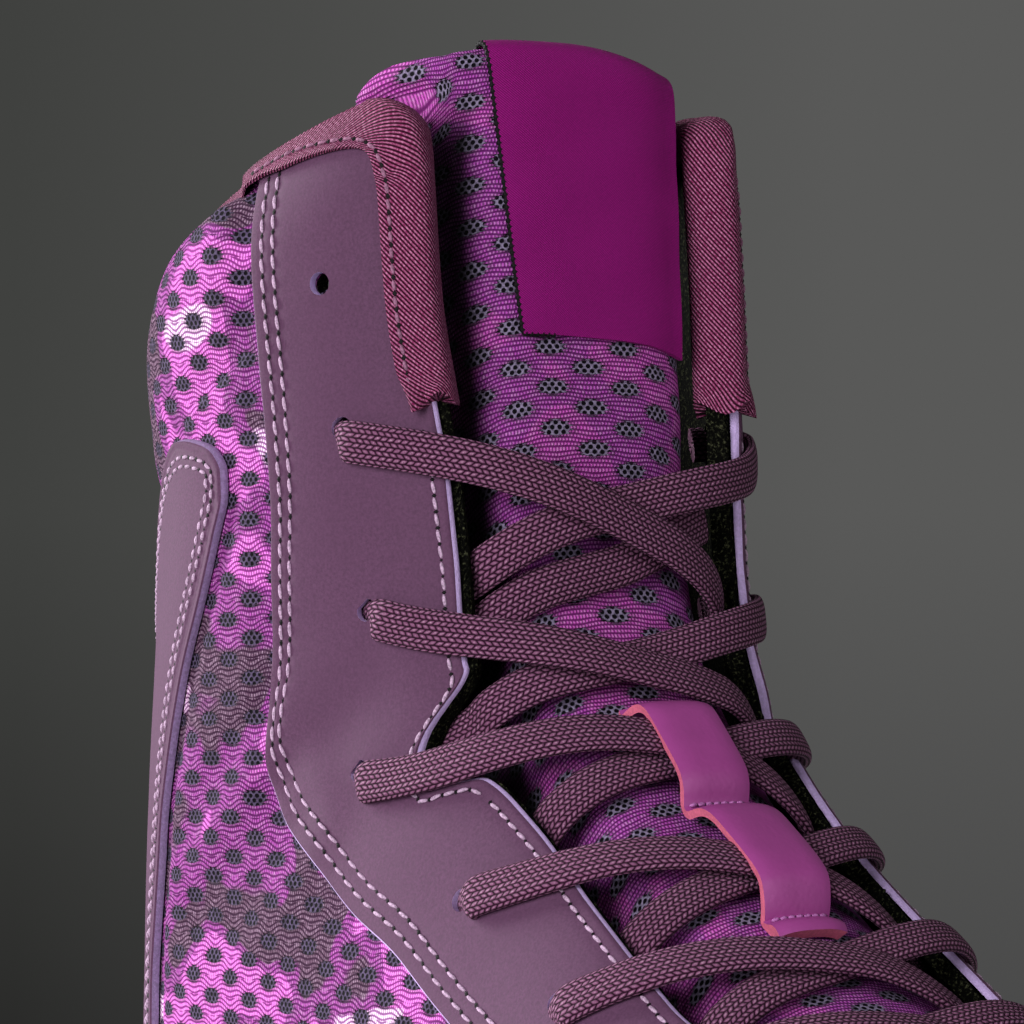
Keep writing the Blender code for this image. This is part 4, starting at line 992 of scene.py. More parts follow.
def twill_finish(name, c, tips, pitch, deep, rough, dips):
    """Twill: slanting ribs of short floats; dips is the painted shade between them and tips the painted
    highlight on them.
    """
    f = Finish(name, Roughness=rough, Sheen_Weight=0.02, Specular_IOR_Level=0.12)
    u, v = f.cloth()
    slant = ((u + 1.15 * v) / pitch).fract()
    rib = (slant * math.pi).sin()
    floats = 0.5 + 0.5 * ((v - 0.6 * u) / pitch * (2 * math.pi)).cos()
    fibre = f.noise(f.place(), 0.4, 2.0, 0.6)
    height = rib * (0.8 + 0.2 * floats)
    tone = f.mix(height.step(0.15, 0.9), shade(c, dips), c)
    f.set("Base Color", f.mix(height.step(0.55, 1.0) * fibre.step(0.3, 0.65), tone, tips))
    f.relief(deep * height + 0.03 * fibre)
    return f


def leather_finish():
    """Smooth coated leather with a faint pebble."""
    c = colours().leather
    f = Finish("magenta leather", Roughness=0.42, Coat_Weight=0.06, Coat_Roughness=0.4)
    place = f.place()
    pebble = f.node("ShaderNodeTexVoronoi", {"feature": "SMOOTH_F1"},
                    {"Vector": place, "Scale": 1 / (0.7 * MM)})
    cloud = f.noise(place, 9.0, 2.0)
    f.set("Base Color", f.mix(cloud.step(0.3, 0.7), shade(c, 0.92), shade(c, 1.06)))
    f.set("Roughness", 0.38 + 0.12 * pebble)
    f.relief(0.035 * pebble)
    return f


def rubber_finish():
    """Moulded rubber: fine spark texture, with scuffs as duller clouds."""
    c = colours().rubber
    f = Finish("dark rubber", Roughness=0.55, Specular_IOR_Level=0.4)
    place = f.place()
    spark = f.noise(place, 0.7, 3.0, 0.6)
    scuff = f.noise(place, 14.0, 4.0, 0.6)
    f.set("Base Color", f.mix(scuff.step(0.45, 0.75), c, shade(c, 1.25)))
    f.set("Roughness", 0.48 + 0.25 * scuff)
    f.relief(0.06 * spark)
    return f


def footbed_finish():
    """Black knit cover of the footbed."""
    f = Finish("footbed cover", Roughness=0.9)
    weave = f.node("ShaderNodeTexVoronoi", {}, {"Vector": f.place(), "Scale": 1 / (1.1 * MM)})
    f.set("Base Color", f.mix(weave.step(0.1, 0.6), (0.02, 0.018, 0.022), (0.008, 0.007, 0.009)))
    f.relief(-0.2 * weave)
    return f


FINISHES = {}


def finish(name):
    """Make each finish once, when it is first asked for."""
    c = colours()
    makers = {
        "knit": side_knit, "tongue_knit": tongue_knit, "microfibre": microfibre_finish,
        "lining": lining_finish, "braid": braid_finish, "leather": leather_finish,
        "rubber": rubber_finish, "footbed": footbed_finish,
        "edge": lambda: edge_finish("lavender edge", c.edge, 0.2),
        "counter_edge": lambda: edge_finish("violet edge", c.counter_edge),
        "leather_edge": lambda: edge_finish("salmon edge", c.leather_edge, 0.2),
        "thread": lambda: thread_finish("lilac thread", c.thread),
        # black thread of the overlock; the same finish paints shade in the dips between stitches
        "black_thread_and_dip_shade": lambda: thread_finish("black thread", (0.006, 0.005, 0.006)),
        "pink_thread": lambda: thread_finish("pink thread", tint(196, 120, 190)),
        "binding_thread": lambda: thread_finish("rose thread", tint(158, 108, 138)),
        "twill": lambda: twill_finish("burgundy twill", c.twill, c.twill_highlight, millimetres("rib"), 0.2, 0.6,
                                      0.06),
        # the satin's lighter rib crests are a painted highlight, its darker dips painted shade
        "satin": lambda: twill_finish("magenta satin", c.satin, shade(c.satin, 1.35), 0.46, 0.06, 0.5, 0.5),
    }
    if name not in FINISHES:
        FINISHES[name] = makers[name]().material
    return FINISHES[name]


# Upper and overlays

def both_halves(halves):
    """One grid of arcs from its outer and inner half, the cells to keep and the column between the halves,
    which is left out."""
    arc = np.concatenate(halves, axis=1)
    middle = halves[0].shape[1] - 1
    keep = np.ones((arc.shape[0] - 1, arc.shape[1] - 1), bool)
    keep[:, middle] = False
    return arc, keep, middle


def spaced(*runs):
    """Section numbers in even runs: pairs of a stop and a count after the first start."""
    found = [np.array(runs[:1])]
    start = runs[0]
    for stop, count in runs[1:]:
        found.append(np.linspace(start, stop, count + 1)[1:])
        start = stop
    return np.concatenate(found)


SOLVE_PASSES = 900


def flat_cloth(points, normals, joined):
    """Flat coordinates of cloth on a grid of points: one coordinate follows the way along the shoe and the
    other the way square to it, by least squares, solved with conjugate gradients."""
    ahead = np.array((1.0, 0.0, 0.0))
    level = np.cross((0.0, 0.0, 1.0), normals)
    level *= np.where(points[..., 1:2] < 0, 1.0, -1.0)
    along = unit(ahead - (normals @ ahead)[..., None] * normals + 0.15 * level)
    over = np.cross(normals, along)
    down_run, over_run = np.diff(points, axis=0), np.diff(points, axis=1)
    down_length = np.linalg.norm(down_run, axis=-1)
    over_length = np.linalg.norm(over_run, axis=-1)
    cell_width = over_length.mean(axis=1, keepdims=True)[:-1]
    down_weight = np.clip(cell_width / np.maximum(down_length, 0.05), 0.05, 20)
    over_weight = np.clip(1.2 / np.maximum(over_length, 0.05), 0.05, 20) * joined

    def spread(down, across):
        total = np.zeros(points.shape[:2])
        total[1:] += down
        total[:-1] -= down
        total[:, 1:] += across
        total[:, :-1] -= across
        return total

    def matrix(x):
        return spread(down_weight * np.diff(x, axis=0), over_weight * np.diff(x, axis=1)) + 1e-7 * x

    found = []
    for way, start in ((along, points[..., 0]), (over, points[..., 2])):
        down_want = np.sum(down_run * 0.5 * (way[1:] + way[:-1]), axis=-1)
        over_want = np.sum(over_run * 0.5 * (way[:, 1:] + way[:, :-1]), axis=-1)
        x = start.copy()
        rest = spread(down_weight * down_want, over_weight * over_want) - matrix(x)
        search = rest.copy()
        power = np.sum(rest * rest)
        for _ in range(SOLVE_PASSES):
            pushed = matrix(search)
            step = power / np.sum(search * pushed)
            x += step * search
            rest -= step * pushed
            after = np.sum(rest * rest)
            search = rest + after / power * search
            power = after
        found.append(x)
    return np.stack(found, axis=-1)


def puff(s, arc):
    """How far the knit stands out between the sewn edges: more in the padded collar."""
    lift = np.zeros(s.shape)
    rows = s[:, 0]
    for side, mine in (("outer", arc <= 0), ("inner", arc > 0)):
        behind = np.abs(arc) - facing_edge(s, side)
        counter = np.where(rows < COUNTER_TOP, counter_edge(rows, side), 1e3)
        lip = np.where(rows < 10.5, lip_clear(rows, side), 1e3)
        ahead = np.minimum(counter, lip)[:, None] - np.abs(arc)
        below = (COLLAR_ROW - s) * 14.0
        free = ease((behind - 0.6) / 8.0) * ease((below - 0.3) / 3.5) * (s > 2.3)
        above_counter = ease((s - COUNTER_TOP - 0.02) / 0.35) * (0.4 + 0.6 * ease((s - 13.8) / 0.9))
        beside = PUFF_SIDE * ease((ahead - 1.0) / 10.0)
        lift += mine * free * np.where(s > COUNTER_TOP, PUFF_COLLAR * above_counter, beside)
    return lift


# Columns of the lining's fold from the throat's edge, and how rough its nap is, mm
LINED_STEPS = (0.0, 0.3, 0.7, 1.2, 1.8, 2.6, 3.6)
FUZZ = 0.16


def make_upper():
    """The upper's wall: knit outside, and lining that folds over the throat's edge as a fuzzy strip."""
    rows = spaced(0.0, (0.6, 16), (2.2, 30), (3.5, 56), (COLLAR_ROW, 234))
    columns = np.linspace(0, 1, 50)[None, :-1]
    arcs = []
    for side, sign in SIDES:
        end, edge = FORM.end(rows, side)[:, None], throat_edge(rows, side)[:, None]
        near = edge + np.array(LINED_STEPS)[None, ::-1]
        run = np.concatenate((end + (near[:, :1] - end) * columns, near), axis=1)
        arcs.append((sign * run)[:, ::-sign])
    arc, keep, middle = both_halves(arcs)
    s = np.broadcast_to(rows[:, None], arc.shape)
    lined = np.zeros(keep.shape, bool)
    strip = len(LINED_STEPS) - 1
    lined[rows[:-1] > THROAT[1][0], middle - strip:middle + strip + 1] = True
    joined = np.ones((len(rows), arc.shape[1] - 1))
    joined[:, middle] = rows <= THROAT[0][0]
    cloth = flat_cloth(FORM.at(s, arc), FORM.normal(s, arc), joined)
    dent = sag(s, arc)
    fuzz = np.zeros(s.shape)
    nap = np.random.default_rng(5).normal(0, FUZZ, (len(rows), 2 * strip))
    fuzz[:, middle - strip + 1:middle + strip + 1] = nap
    fuzz *= (rows > 3.1)[:, None]
    high = dent + puff(s, arc) + fuzz
    return sheet_piece("upper_knit", s, arc, dent - wall(s), high, keep,
                       ("knit", "lining", "lining"), ["upper"], 2, cloth, marked=lined)


# Columns from a sheet's rear and front edge and the distances of its stitch rows, mm; cells of a pale bevel
REAR_STEPS = (0.0, 0.3, 0.6, 0.9, 1.6, 2.3, 2.9, 3.5, 4.2, 4.8, 5.4, 6.0, 7.2)
FRONT_STEPS = (0.0, 0.3, 0.6, 0.9, 1.4, 1.9, 2.4, 2.9, 3.5, 4.6)
REAR_ROWS, COUNTER_ROWS = (2.9, 5.4), (2.6, 4.0)
FRONT_ROW = 2.6
BEVEL_CELLS = 2


def set_back(s, side):
    """How far the eyestay's front edge lies behind the edge of the wall."""
    return 0.5 + 1.1 * ease((s - 7.9) / 0.6) if side == "outer" else np.full(np.shape(s), 2.0)


def sewn(away, rows, bevel, drop_at_edge):
    """Drop of a sheet's face at its bevelled edge and in the furrows of its stitch rows."""
    drop = drop_at_edge * np.clip(1 - away / bevel, 0, 1)
    for place in rows:
        drop = drop + 0.2 * np.exp(-((away - place) / 0.55) ** 2)
    return drop


def make_eyestay():
    """Microfibre facing on both sides of the throat, with round lace holes and pale bevelled edges."""
    rows = spaced(FACING[0][0], (2.6, 14), (3.5, 40), (COLLAR_ROW, 266))
    share = np.linspace(0, 1, 19)[None, 1:-1]
    open_front = ease((rows - THROAT[0][0]) / 0.1)[:, None]
    toe_edge = 0.4 * (1 - ease((rows - FACING[0][0]) / 0.12))[:, None]
    arcs, drops = [], []
    for side, sign in SIDES:
        rear = facing_edge(rows, side)[:, None]
        front = throat_edge(rows, side)[:, None] + set_back(rows, side)[:, None] * open_front
        first = rear - np.array(REAR_STEPS)[None, :]
        last = front + np.array(FRONT_STEPS)[None, ::-1]
        run = np.concatenate((first, first[:, -1:] + (last[:, :1] - first[:, -1:]) * share, last), axis=1)
        drop = sewn(rear - run, REAR_ROWS, 0.6, 0.5) + open_front * sewn(run - front, (FRONT_ROW,), 0.9, 0.8)
        arcs.append((sign * run)[:, ::-sign])
        drops.append((drop + toe_edge)[:, ::-sign])
    arc, keep, middle = both_halves(arcs)
    s = np.broadcast_to(rows[:, None], arc.shape)
    pale = np.zeros(keep.shape, bool)
    pale[:, 0] = pale[:, -1] = True
    pale[rows[:-1] > THROAT[1][0], middle - BEVEL_CELLS:middle + BEVEL_CELLS + 1] = True
    dent = sag(s, arc)
    wave = 0.12 * np.sin(s * 3.1 + arc * 0.05) * np.sin(arc * 0.21 + s * 1.7)
    high = dent + GAP + EYESTAY_THICK - np.concatenate(drops, axis=1) + wave
    return sheet_piece("eyestay_facing", s, arc, dent + GAP, high, keep,
                       ("microfibre", "lining", "edge"), ["eyestay"], 3, marked=pale)


def make_counter():
    """Heel counter that wraps the heel and ends in an ear on both sides, with a broad pale bevel."""
    rows = spaced(COUNTER_START, (10.0, 90), (12.4, 110), (COUNTER_TOP, 70))
    share = np.linspace(0, 1, 26)[None, 1:]
    top = (COUNTER_TOP - rows)[:, None] * 30.0
    arcs, drops, leans = [], [], []
    for side, sign in SIDES:
        low, front = lip_clear(rows, side)[:, None], counter_edge(rows, side)[:, None]
        first = front + np.array(REAR_STEPS)[None, :] * np.clip((low - front) / 16.0, 0, 1)
        run = np.concatenate((first, first[:, -1:] + (low - first[:, -1:]) * share), axis=1)
        edge = np.minimum(run - front, top)
        lean, run = counter_lean(rows[:, None], run, side)
        arcs.append((sign * run)[:, ::sign])
        drops.append(sewn(edge, COUNTER_ROWS, 0.9, 0.8)[:, ::sign])
        leans.append(lean[:, ::sign])
    arc, keep, middle = both_halves(arcs)
    s = np.concatenate(leans, axis=1)
    pale = np.zeros(keep.shape, bool)
    pale[:, middle - BEVEL_CELLS:middle + BEVEL_CELLS + 1] = True
    pale[top[:-1, 0] < 1.0] = True
    dent = sag(s, arc)
    high = dent + GAP + COUNTER_THICK - np.concatenate(drops, axis=1)
    return sheet_piece("counter_panel", s, arc, dent + GAP, high, keep,
                       ("microfibre", "lining", "counter_edge"), ["heel_counter"], marked=pale)


# Tongue, label and keeper

# The tongue lies inside the form, so a width on it is smaller than the form's arc
TONGUE_NARROWER = 0.75
# How deep the tongue falls away beside the throat's outer and inner edge, mm, and how many sections its top
# falls to the inner side
SINK_OUTER, SINK_INNER, CROWN_FALL = 4.0, 3.0, 0.2


def sink(s, arc):
    """How far the tongue falls away towards the edges of the throat."""
    start, depth = np.where(arc < 0, 14.0, 19.0), np.where(arc < 0, SINK_OUTER, SINK_INNER)
    return depth * ease((np.abs(arc) - start) / 13.0) * ease((s - 3.0) / 1.5) * ease((15.5 - s) / 1.6)


def crown(s, arc):
    """Sections near the tongue's top, let down towards the inner side."""
    return s - CROWN_FALL * ease((arc + 2.0) / 24.0) * ease((s - 14.0) / 1.4)


def tongue_top(s, arc):
    """Lift of the tongue's face, with the pillow that swells between the lower lace rows."""
    pillow = ease((s - 3.0) / 0.7) * ease((8.5 - s) / 0.9) * np.exp(-(arc / 16.0) ** 2)
    return tongue_face(s) + PILLOW * pillow - sink(s, arc)


def make_tongue():
    """Padded knit tongue: two skins that meet in a round edge all the way round."""
    rows = spaced(TONGUE[0][0], (2.5, 10), (COLLAR_ROW, 194), (TONGUE[-1][0], 28))
    share = np.sin(np.linspace(-0.5, 0.5, 73) * math.pi)
    half = lookup(TONGUE, TONGUE_COLUMNS, "half", rows)[:, None]
    thick = lookup(TONGUE, TONGUE_COLUMNS, "thick", rows)[:, None]
    arc = half * share[None, :]
    s = np.broadcast_to(rows[:, None], arc.shape)
    ends = np.sqrt(np.clip(1 - np.clip((rows - 15.4) / 0.22, 0, 1) ** 2, 0, 1))
    ends = ends * np.sqrt(np.clip(1 - np.clip((2.34 - rows) / 0.14, 0, 1) ** 2, 0, 1))
    plump = np.sqrt(np.clip(1 - np.abs(share[None, :]) ** 7, 0, 1)) * ends[:, None]
    middle = tongue_face(s) - sink(s, arc) - 0.5 * thick
    quilt = 0.25 * np.sin(s * 4.0 + 0.06 * arc) * np.cos(arc * 0.09)
    high = middle + (quilt + tongue_top(s, arc) - middle) * plump
    low = middle - 0.5 * thick * plump
    ridge = run_length(FORM.at(rows, 0.0))
    cloth = flat_grid(TONGUE_NARROWER * arc, ridge[:, None])
    keep = np.ones((len(rows) - 1, len(share) - 1), bool)
    thing = sheet_piece("tongue_knit", crown(s, arc), arc, low, high, keep,
                        ("tongue_knit", "lining", "tongue_knit"), ["tongue"], 0, cloth, 70.0)
    return thing


def path_of(table, count, *columns):
    """Columns of a short table along its own length, as smooth runs of equal steps."""
    rows = np.array(table)
    places = FORM.at(rows[:, 0], 0.0, rows[:, 1])
    length = run_length(places)
    at = np.linspace(0, length[-1], count)
    return [smooth(length, rows[:, k], at) for k in columns]


def rounded(values, passes):
    """Soften corners of a run of values, with its ends held."""
    values = np.array(values)
    for _ in range(passes):
        values[1:-1] = 0.25 * (values[:-2] + 2 * values[1:-1] + values[2:])
    return values


def strip_piece(name, points, thick, finishes, nodes=()):
    """A strip from a grid of its middle points; thick may change along it, and flat coordinates run across
    and along it."""
    normal = unit(np.cross(np.gradient(points, axis=1), np.gradient(points, axis=0)))
    half = 0.5 * np.asarray(thick, float).reshape(-1, 1, 1) * normal
    tops, unders = (points + half).reshape(-1, 3), (points - half).reshape(-1, 3)
    rows, cols = points.shape[:2]
    along = run_length(points[:, cols // 2])
    over = run_length(points[rows // 2])
    cloth = flat_grid(over[None, :], along[:, None])
    triangles = grid_triangles(rows, cols).reshape(-1, 3)
    made, groups, kept = shell(tops, unders, triangles)
    return piece(name, made, groups, finishes, cloth[kept[np.concatenate(groups)]], nodes)


def make_label():
    """Satin label sewn on the tongue and folded over its top; its outer edge leans."""
    s, lift = (rounded(run, 6) for run in path_of(LABEL_PATH, 120, 0, 1))
    share = np.linspace(0, 1, 33)[None, :]
    bottom, top = LABEL_PATH[0][0], 15.5
    climb = np.clip((s - bottom) / (top - bottom), 0, 1)[:, None]
    outer = LABEL_OUTER + (LABEL_OUTER_TOP - LABEL_OUTER) * climb
    arc = outer + (LABEL_INNER - outer) * share
    s = s[:, None] - 0.1 * (share - 0.5) * np.clip(1 - 4 * climb, 0, 1)
    curl = 0.35 * np.exp(-((1 - share) / 0.04) ** 2) + 0.12 * np.sin(s * 6) * np.sin(share * 7)
    points = FORM.at(crown(s, arc), arc, lift[:, None] + curl)
    label = strip_piece("label_satin", points, LABEL_THICK, ("satin",) * 3, ["tongue_label"])
    make_overlock(points)
    return label


# Overlock: distance between rings, between turns of the thread, and its radius, mm
OVERLOCK_STEP, OVERLOCK_TURN, OVERLOCK_RADIUS = 0.22, 0.95, 0.38


def make_overlock(points):
    """Black thread wound over the label's outer edge: a cord whose radius swells at each turn."""
    line = np.concatenate((points[::-1, 0], points[0, 1:7]))
    length = run_length(line)
    at = np.arange(0, length[-1], OVERLOCK_STEP)
    line = rounded(line_at(at, length, line), 4)
    turns = np.linspace(0, 2 * math.pi, 9)[:-1]
    run = unit(np.gradient(line, axis=0))
    side = unit(np.cross(run, (0.3, -0.2, 0.9)))
    over = np.cross(run, side)
    radius = (OVERLOCK_RADIUS + 0.12 * np.sin(at * 2 * math.pi / OVERLOCK_TURN))[:, None, None]
    ring = side[:, None] * np.cos(turns)[None, :, None] + over[:, None] * np.sin(turns)[None, :, None]
    made, triangles, _ = swept(line[:, None] + radius * ring)
    return piece("label_overlock", made, [triangles], ["black_thread_and_dip_shade"], turn_out=True)


def make_keeper():
    """Leather strip with two loops that hold the lace, sewn down between them and rolled at its end."""
    s, lift = (rounded(run, 5) for run in path_of(KEEPER[::-1], 150, 0, 1))
    share = np.linspace(-0.5, 0.5, 19)[None, :]
    arc = np.broadcast_to(KEEPER_MIDDLE + KEEPER_WIDTH * share, (len(s), share.size))
    rows = np.broadcast_to(s[:, None], arc.shape)
    low = np.maximum(lift[:, None], tongue_top(rows, arc) + KEEPER_CLEAR)
    low = rounded(low, 4)
    bow = -0.5 * (2 * share) ** 4
    roll = 1.3 * np.exp(-((s - KEEPER_END) / 0.055) ** 2)
    points = FORM.at(rows, arc, low + 0.5 * (KEEPER_THICK + roll[:, None]) + bow)
    strip_piece("keeper_leather", points, KEEPER_THICK + roll,
                ("leather", "leather", "leather_edge"), ["lace_keeper"])


# Binding

def edge_ways(s, arc):
    """Directions along a line on the form, with its corners softened, and out of it along the surface."""
    run = unit(rounded(np.gradient(FORM.at(s, arc), axis=0), 6))
    return run, unit(np.cross(run, FORM.normal(s, arc)))


def climb_rows():
    """Sections of the bound edge beside the throat, closer together round its corner."""
    return spaced(BINDING_LOW, (14.4, 64), (15.1, 30), (15.17, 6))


def binding_path():
    """Sections and arcs along the bound edge, from the outer side of the throat round to the inner side."""
    climb = climb_rows()
    s, arc = [climb], [-throat_edge(climb, "outer")]
    for side, sign in SIDES:
        edge, end = float(throat_edge(COLLAR_ROW, side)), float(FORM.end(COLLAR_ROW, side))
        run = np.linspace(edge, end, 110)
        run = run if side == "outer" else run[-2::-1]
        s.append(np.full(len(run), float(COLLAR_ROW)))
        arc.append(sign * run)
    s.append(climb[::-1])
    arc.append(throat_edge(climb[::-1], "inner"))
    return np.concatenate(s), np.concatenate(arc)


def binding_lift(s, arc):
    """Lift of the tape's outer flange: over the eyestay, and down on the knit behind it."""
    facing = np.where(arc < 0, facing_edge(s, "outer"), facing_edge(s, "inner"))
    covered = ease((np.abs(arc) - facing - 2.5) / 4.0)
    return 2 * GAP + (EYESTAY_THICK + 0.1) * (1 - covered)


def binding_width(arc):
    """Width of the tape's outer flange: broad beside the throat, slim round the back."""
    return np.interp(np.abs(arc), (33.0, 41.0, 57.0), (BINDING_OUT, 0.75 * BINDING_OUT, BINDING_BACK))


def binding_line(s, arc, width, out):
    """Sections and arcs of a line on the tape, a width in from the bound edge, round at the top corner."""
    width = np.broadcast_to(width, s.shape)
    moved = FORM.moved(s, arc, -width[:, None] * out)
    corner = ease((s - 14.0) / 0.5) * ease((64 - np.abs(arc)) / 12) * np.clip(width / 3.0, 0, 1)
    return tuple(v + (rounded(v, 500) - v) * corner for v in moved)


def make_binding():
    """Twill tape folded over the collar edge: a flange on each side and a round fold between them. Its low
    ends are pinched into two lobes."""
    s, arc = binding_path()
    places = FORM.at(s, arc)
    normal = FORM.normal(s, arc)
    run, out = edge_ways(s, arc)
    lift = binding_lift(s, arc)
    under = -wall(s) - 3 * GAP
    pinch = 1 - ease((s - BINDING_LOW) / 0.4)
    slim = ease((np.abs(arc) - 58.0) / 8.0)
    rings = []

    def flange(width, height):
        return FORM.at(*binding_line(s, arc, width, out), height)

    for share, raise_by, lobe in ((1.0, 0.0, 0.0), (1.0, 0.65, 0.6), (0.92, 0.85, 1.1), (0.77, 0.75, 0.8),
                                  (0.57, 0.8, -0.5), (0.33, 1.0, 0.3), (0.15, 1.15, 0.5)):
        rings.append(flange(share * binding_width(arc) * (1 - 0.2 * pinch),
                            lift + raise_by * (1 - 0.6 * slim) + lobe * pinch))
    middle = 0.5 * (lift + under)
    half = 0.5 * (lift - under) + BINDING_THICK
    for turn in np.radians(np.linspace(78, -78, 9)):
        reach = -0.35 + (BINDING_ROLL + 0.5) * math.cos(turn) ** 0.8 * (1 - 0.55 * slim)
        high = middle + (half + 0.15) * (1 - 0.2 * slim) * math.sin(turn)
        rings.append(places + reach[:, None] * out + high[:, None] * normal)
    for share, layers in ((0.5, 1.0), (0.8, 1.0), (1.0, 1.0), (1.0, 0.0), (0.6, 0.0)):
        rings.append(flange(share * BINDING_IN, under - layers * BINDING_THICK))
    rings.append(places + 0.4 * out + under[:, None] * normal)
    rings.append(places + 0.4 * out + lift[:, None] * normal)
    rings.append(flange(0.4 * binding_width(arc), lift))
    rings = np.stack(rings, axis=1)
    ragged = 1.1 * np.sin(0.8 * np.arange(rings.shape[1])) * pinch[:, None] ** 3
    rings = rings + np.where(s < 14, np.sign(arc), 0)[:, None, None] * ragged[:, :, None] * run[:, None]
    points, triangles, flat = swept(rings)
    along = run_length(places)
    wrapped = np.concatenate((rings, rings[:, :1]), axis=1)
    around = run_length(wrapped[len(climb_rows()) // 2])
    cloth = flat_grid(along[:, None], around[None, :])
    return piece("binding_tape", points, [triangles], ["twill"], cloth[flat], ["collar_binding"],
                 turn_out=True)


# Laces

LACE_ON_FACING = EYESTAY_THICK + GAP + 1.2
# Holes whose lace lies to the throat's side, so that the hole shows beside it
LACE_ASIDE = (2, 4)
# How far behind a hole's middle a strand starts there and elsewhere, mm
LACE_BESIDE, LACE_BEHIND = 0.6, 2.2
# Rounds of pulling a strand taut, and the lengths at its two ends that stay as they are, mm
TAUT_PASSES, TAUT_START, TAUT_STOP = 1200, 3.0, 34.0
# Distance between the lace's rings, mm
LACE_STEP = 0.55


def strand(row, side, rise):
    """Section, arc, lift, width share and thickness share along one strand: out of its hole, over the
    eyestay, across the throat, under the far wall and up to the next lower hole there."""
    sign = dict(SIDES)[side]
    other = "inner" if side == "outer" else "outer"
    hole = HOLES[row[0]]
    below = HOLES[row[0] + 1]
    edge, ridge, far = (row[LACE_COLUMNS.index(side + place)] for place in ("_edge", "_ridge", "_far"))
    start = hole[SIDE_COLUMNS.index(side)] + (LACE_BESIDE if row[0] in LACE_ASIDE else LACE_BEHIND)
    near = float(throat_edge(edge, side)) + 1.0
    end = float(min(throat_edge(far + step, other) for step in (-0.4, -0.2, 0.0, 0.2, 0.4))) - 2.8
    last = below[SIDE_COLUMNS.index(other)]
    deep = -float(wall(far)) - 1.05
    c = np.concatenate((np.linspace(-start - 0.5, -start + 1.2, 8), np.linspace(-start + 1.2, last, 150)[1:]))
    s = smooth((-start, -near, 0.0, end, last), (hole[0], edge, ridge, far, below[0]), c)
    knots = (-start - 0.5, -start - 0.35, -start - 0.1, -start + 0.9, -start + 2.4, -near, 0.0, end,
             end + 4.5, last)
    top = LACE_ON_FACING
    lifts = (-float(wall(hole[0])) - 2.0, -1.2, 1.2, top - 0.2, top, top, rise, LACE_TUCK, deep, deep)
    lift = smooth(knots, lifts, c)
    knots = (-start - 0.5, -start - 0.1, -start + 1.6, -start + 3.6, end, last)
    width = smooth(knots, (0.92, 0.94, 1, 1, 1, 0.85), c)
    knots = (-start - 0.5, -start, -start + 2.5, end, end + 4.0, last)
    thick = smooth(knots, (1.5, 1.45, 1.0, 1, 0.7, 0.7), c)
    return s, -sign * c, lift, width, thick


def taut(line, floor, up, first, last):
    """Pull a line of points straight between two of them, without sinking below the floor it lies on."""
    line = line.copy()
    part = slice(first, last)
    for _ in range(TAUT_PASSES):
        mean = 0.25 * (line[first - 1:last - 1] + 2 * line[part] + line[first + 1:last + 1])
        deep = np.sum((floor[part] - mean) * up[part], axis=-1, keepdims=True)
        line[part] = mean + np.maximum(deep, 0) * up[part]
    return line


def braid_band(s, arc, lift, width, thick, free=None):
    """A flat lace round a line: its ring is a flattened oval that turns with the line. Free gives the lengths
    between which it is pulled taut. Gives points, triangles and flat coordinates."""
    line = FORM.at(s, arc, lift)
    length = run_length(line)
    at = np.linspace(0, length[-1], max(int(length[-1] / LACE_STEP), 12))
    line = rounded(line_at(at, length, line), 4)
    s, arc, width, thick = (np.interp(at, length, run) for run in (s, arc, width, thick))
    normal = FORM.normal(s, arc)
    if free is not None:
        first, last = np.searchsorted(at, (free[0], length[-1] - free[1]))
        line = taut(line, line - 0.1 * normal, normal, first, last)
    run = unit(np.gradient(line, axis=0))
    flat_run = rounded(unit(np.gradient(FORM.at(s, arc), axis=0)), 8)
    side = unit(np.cross(normal, flat_run))
    over = unit(np.cross(run, side))
    turns = np.radians(np.linspace(-90, 270, 25)[:-1])
    across = np.sign(np.cos(turns)) * np.abs(np.cos(turns)) ** 0.72
    up = np.sign(np.sin(turns)) * np.abs(np.sin(turns)) ** 0.8
    half = 0.5 * np.array((millimetres("lace_width"), millimetres("lace_thick")))
    outline = np.stack((across, up), axis=-1) * half
    wide = width[:, None, None] * outline[None, :, :1] * side[:, None]
    high = thick[:, None, None] * outline[None, :, 1:] * over[:, None]
    points, triangles, flat = swept(line[:, None] + wide + high)
    around = run_length(np.concatenate((outline, outline[:1])))
    cloth = flat_grid(run_length(line)[:, None], around[None, :])
    return points, triangles, cloth[flat]


def lace_piece(name, bands):
    """One lace piece from its bands."""
    points, triangles = stacked([band[:2] for band in bands])
    flat = np.concatenate([band[2] for band in bands])
    return piece(name, points, [np.concatenate(triangles)], ["braid"], flat,
                 [name.replace("braid", "lace")], turn_out=True, sharp=80.0)


def make_laces():
    """Six crossings, the straight bar at the toe end and the tucked tail."""
    for row in LACES:
        bands = [braid_band(*strand(row, side, rise), free=(TAUT_START, TAUT_STOP))
                 for side, rise in (("outer", LACE_OVER), ("inner", LACE_UNDER))]
        lace_piece("braid_crossing_%d" % row[0], bands)
    s, outer, inner = HOLES[-1]
    edges = float(throat_edge(s, "outer")) + 1.0, float(throat_edge(s, "inner")) + 1.0
    arc = np.linspace(-outer - 0.5, inner + 0.5, 120)
    knots = (-outer - 0.5, -outer - 0.1, -outer + 1.8, -edges[0], 0.0, edges[1], inner - 1.8, inner + 0.1,
             inner + 0.5)
    top = LACE_ON_FACING
    lift = smooth(knots, (-4.0, 1.0, top, top, LACE_OVER, top, top, 1.0, -4.0), arc)
    squeeze = smooth(knots, (0.44, 0.5, 0.9, 1, 1, 1, 0.9, 0.5, 0.44), arc)
    lace_piece("braid_bar", [braid_band(np.full(len(arc), s), arc, lift, squeeze, 1 / np.sqrt(squeeze))])
    tail = np.array(TAIL)
    arc = np.linspace(tail[0, 1], tail[-1, 1], 90)
    s, lift = (smooth(-tail[:, 1], tail[:, k], -arc) for k in (0, 2))
    lace_piece("braid_tail", [braid_band(s, arc, lift, np.ones(90), np.full(90, 0.9))])


# Stitching

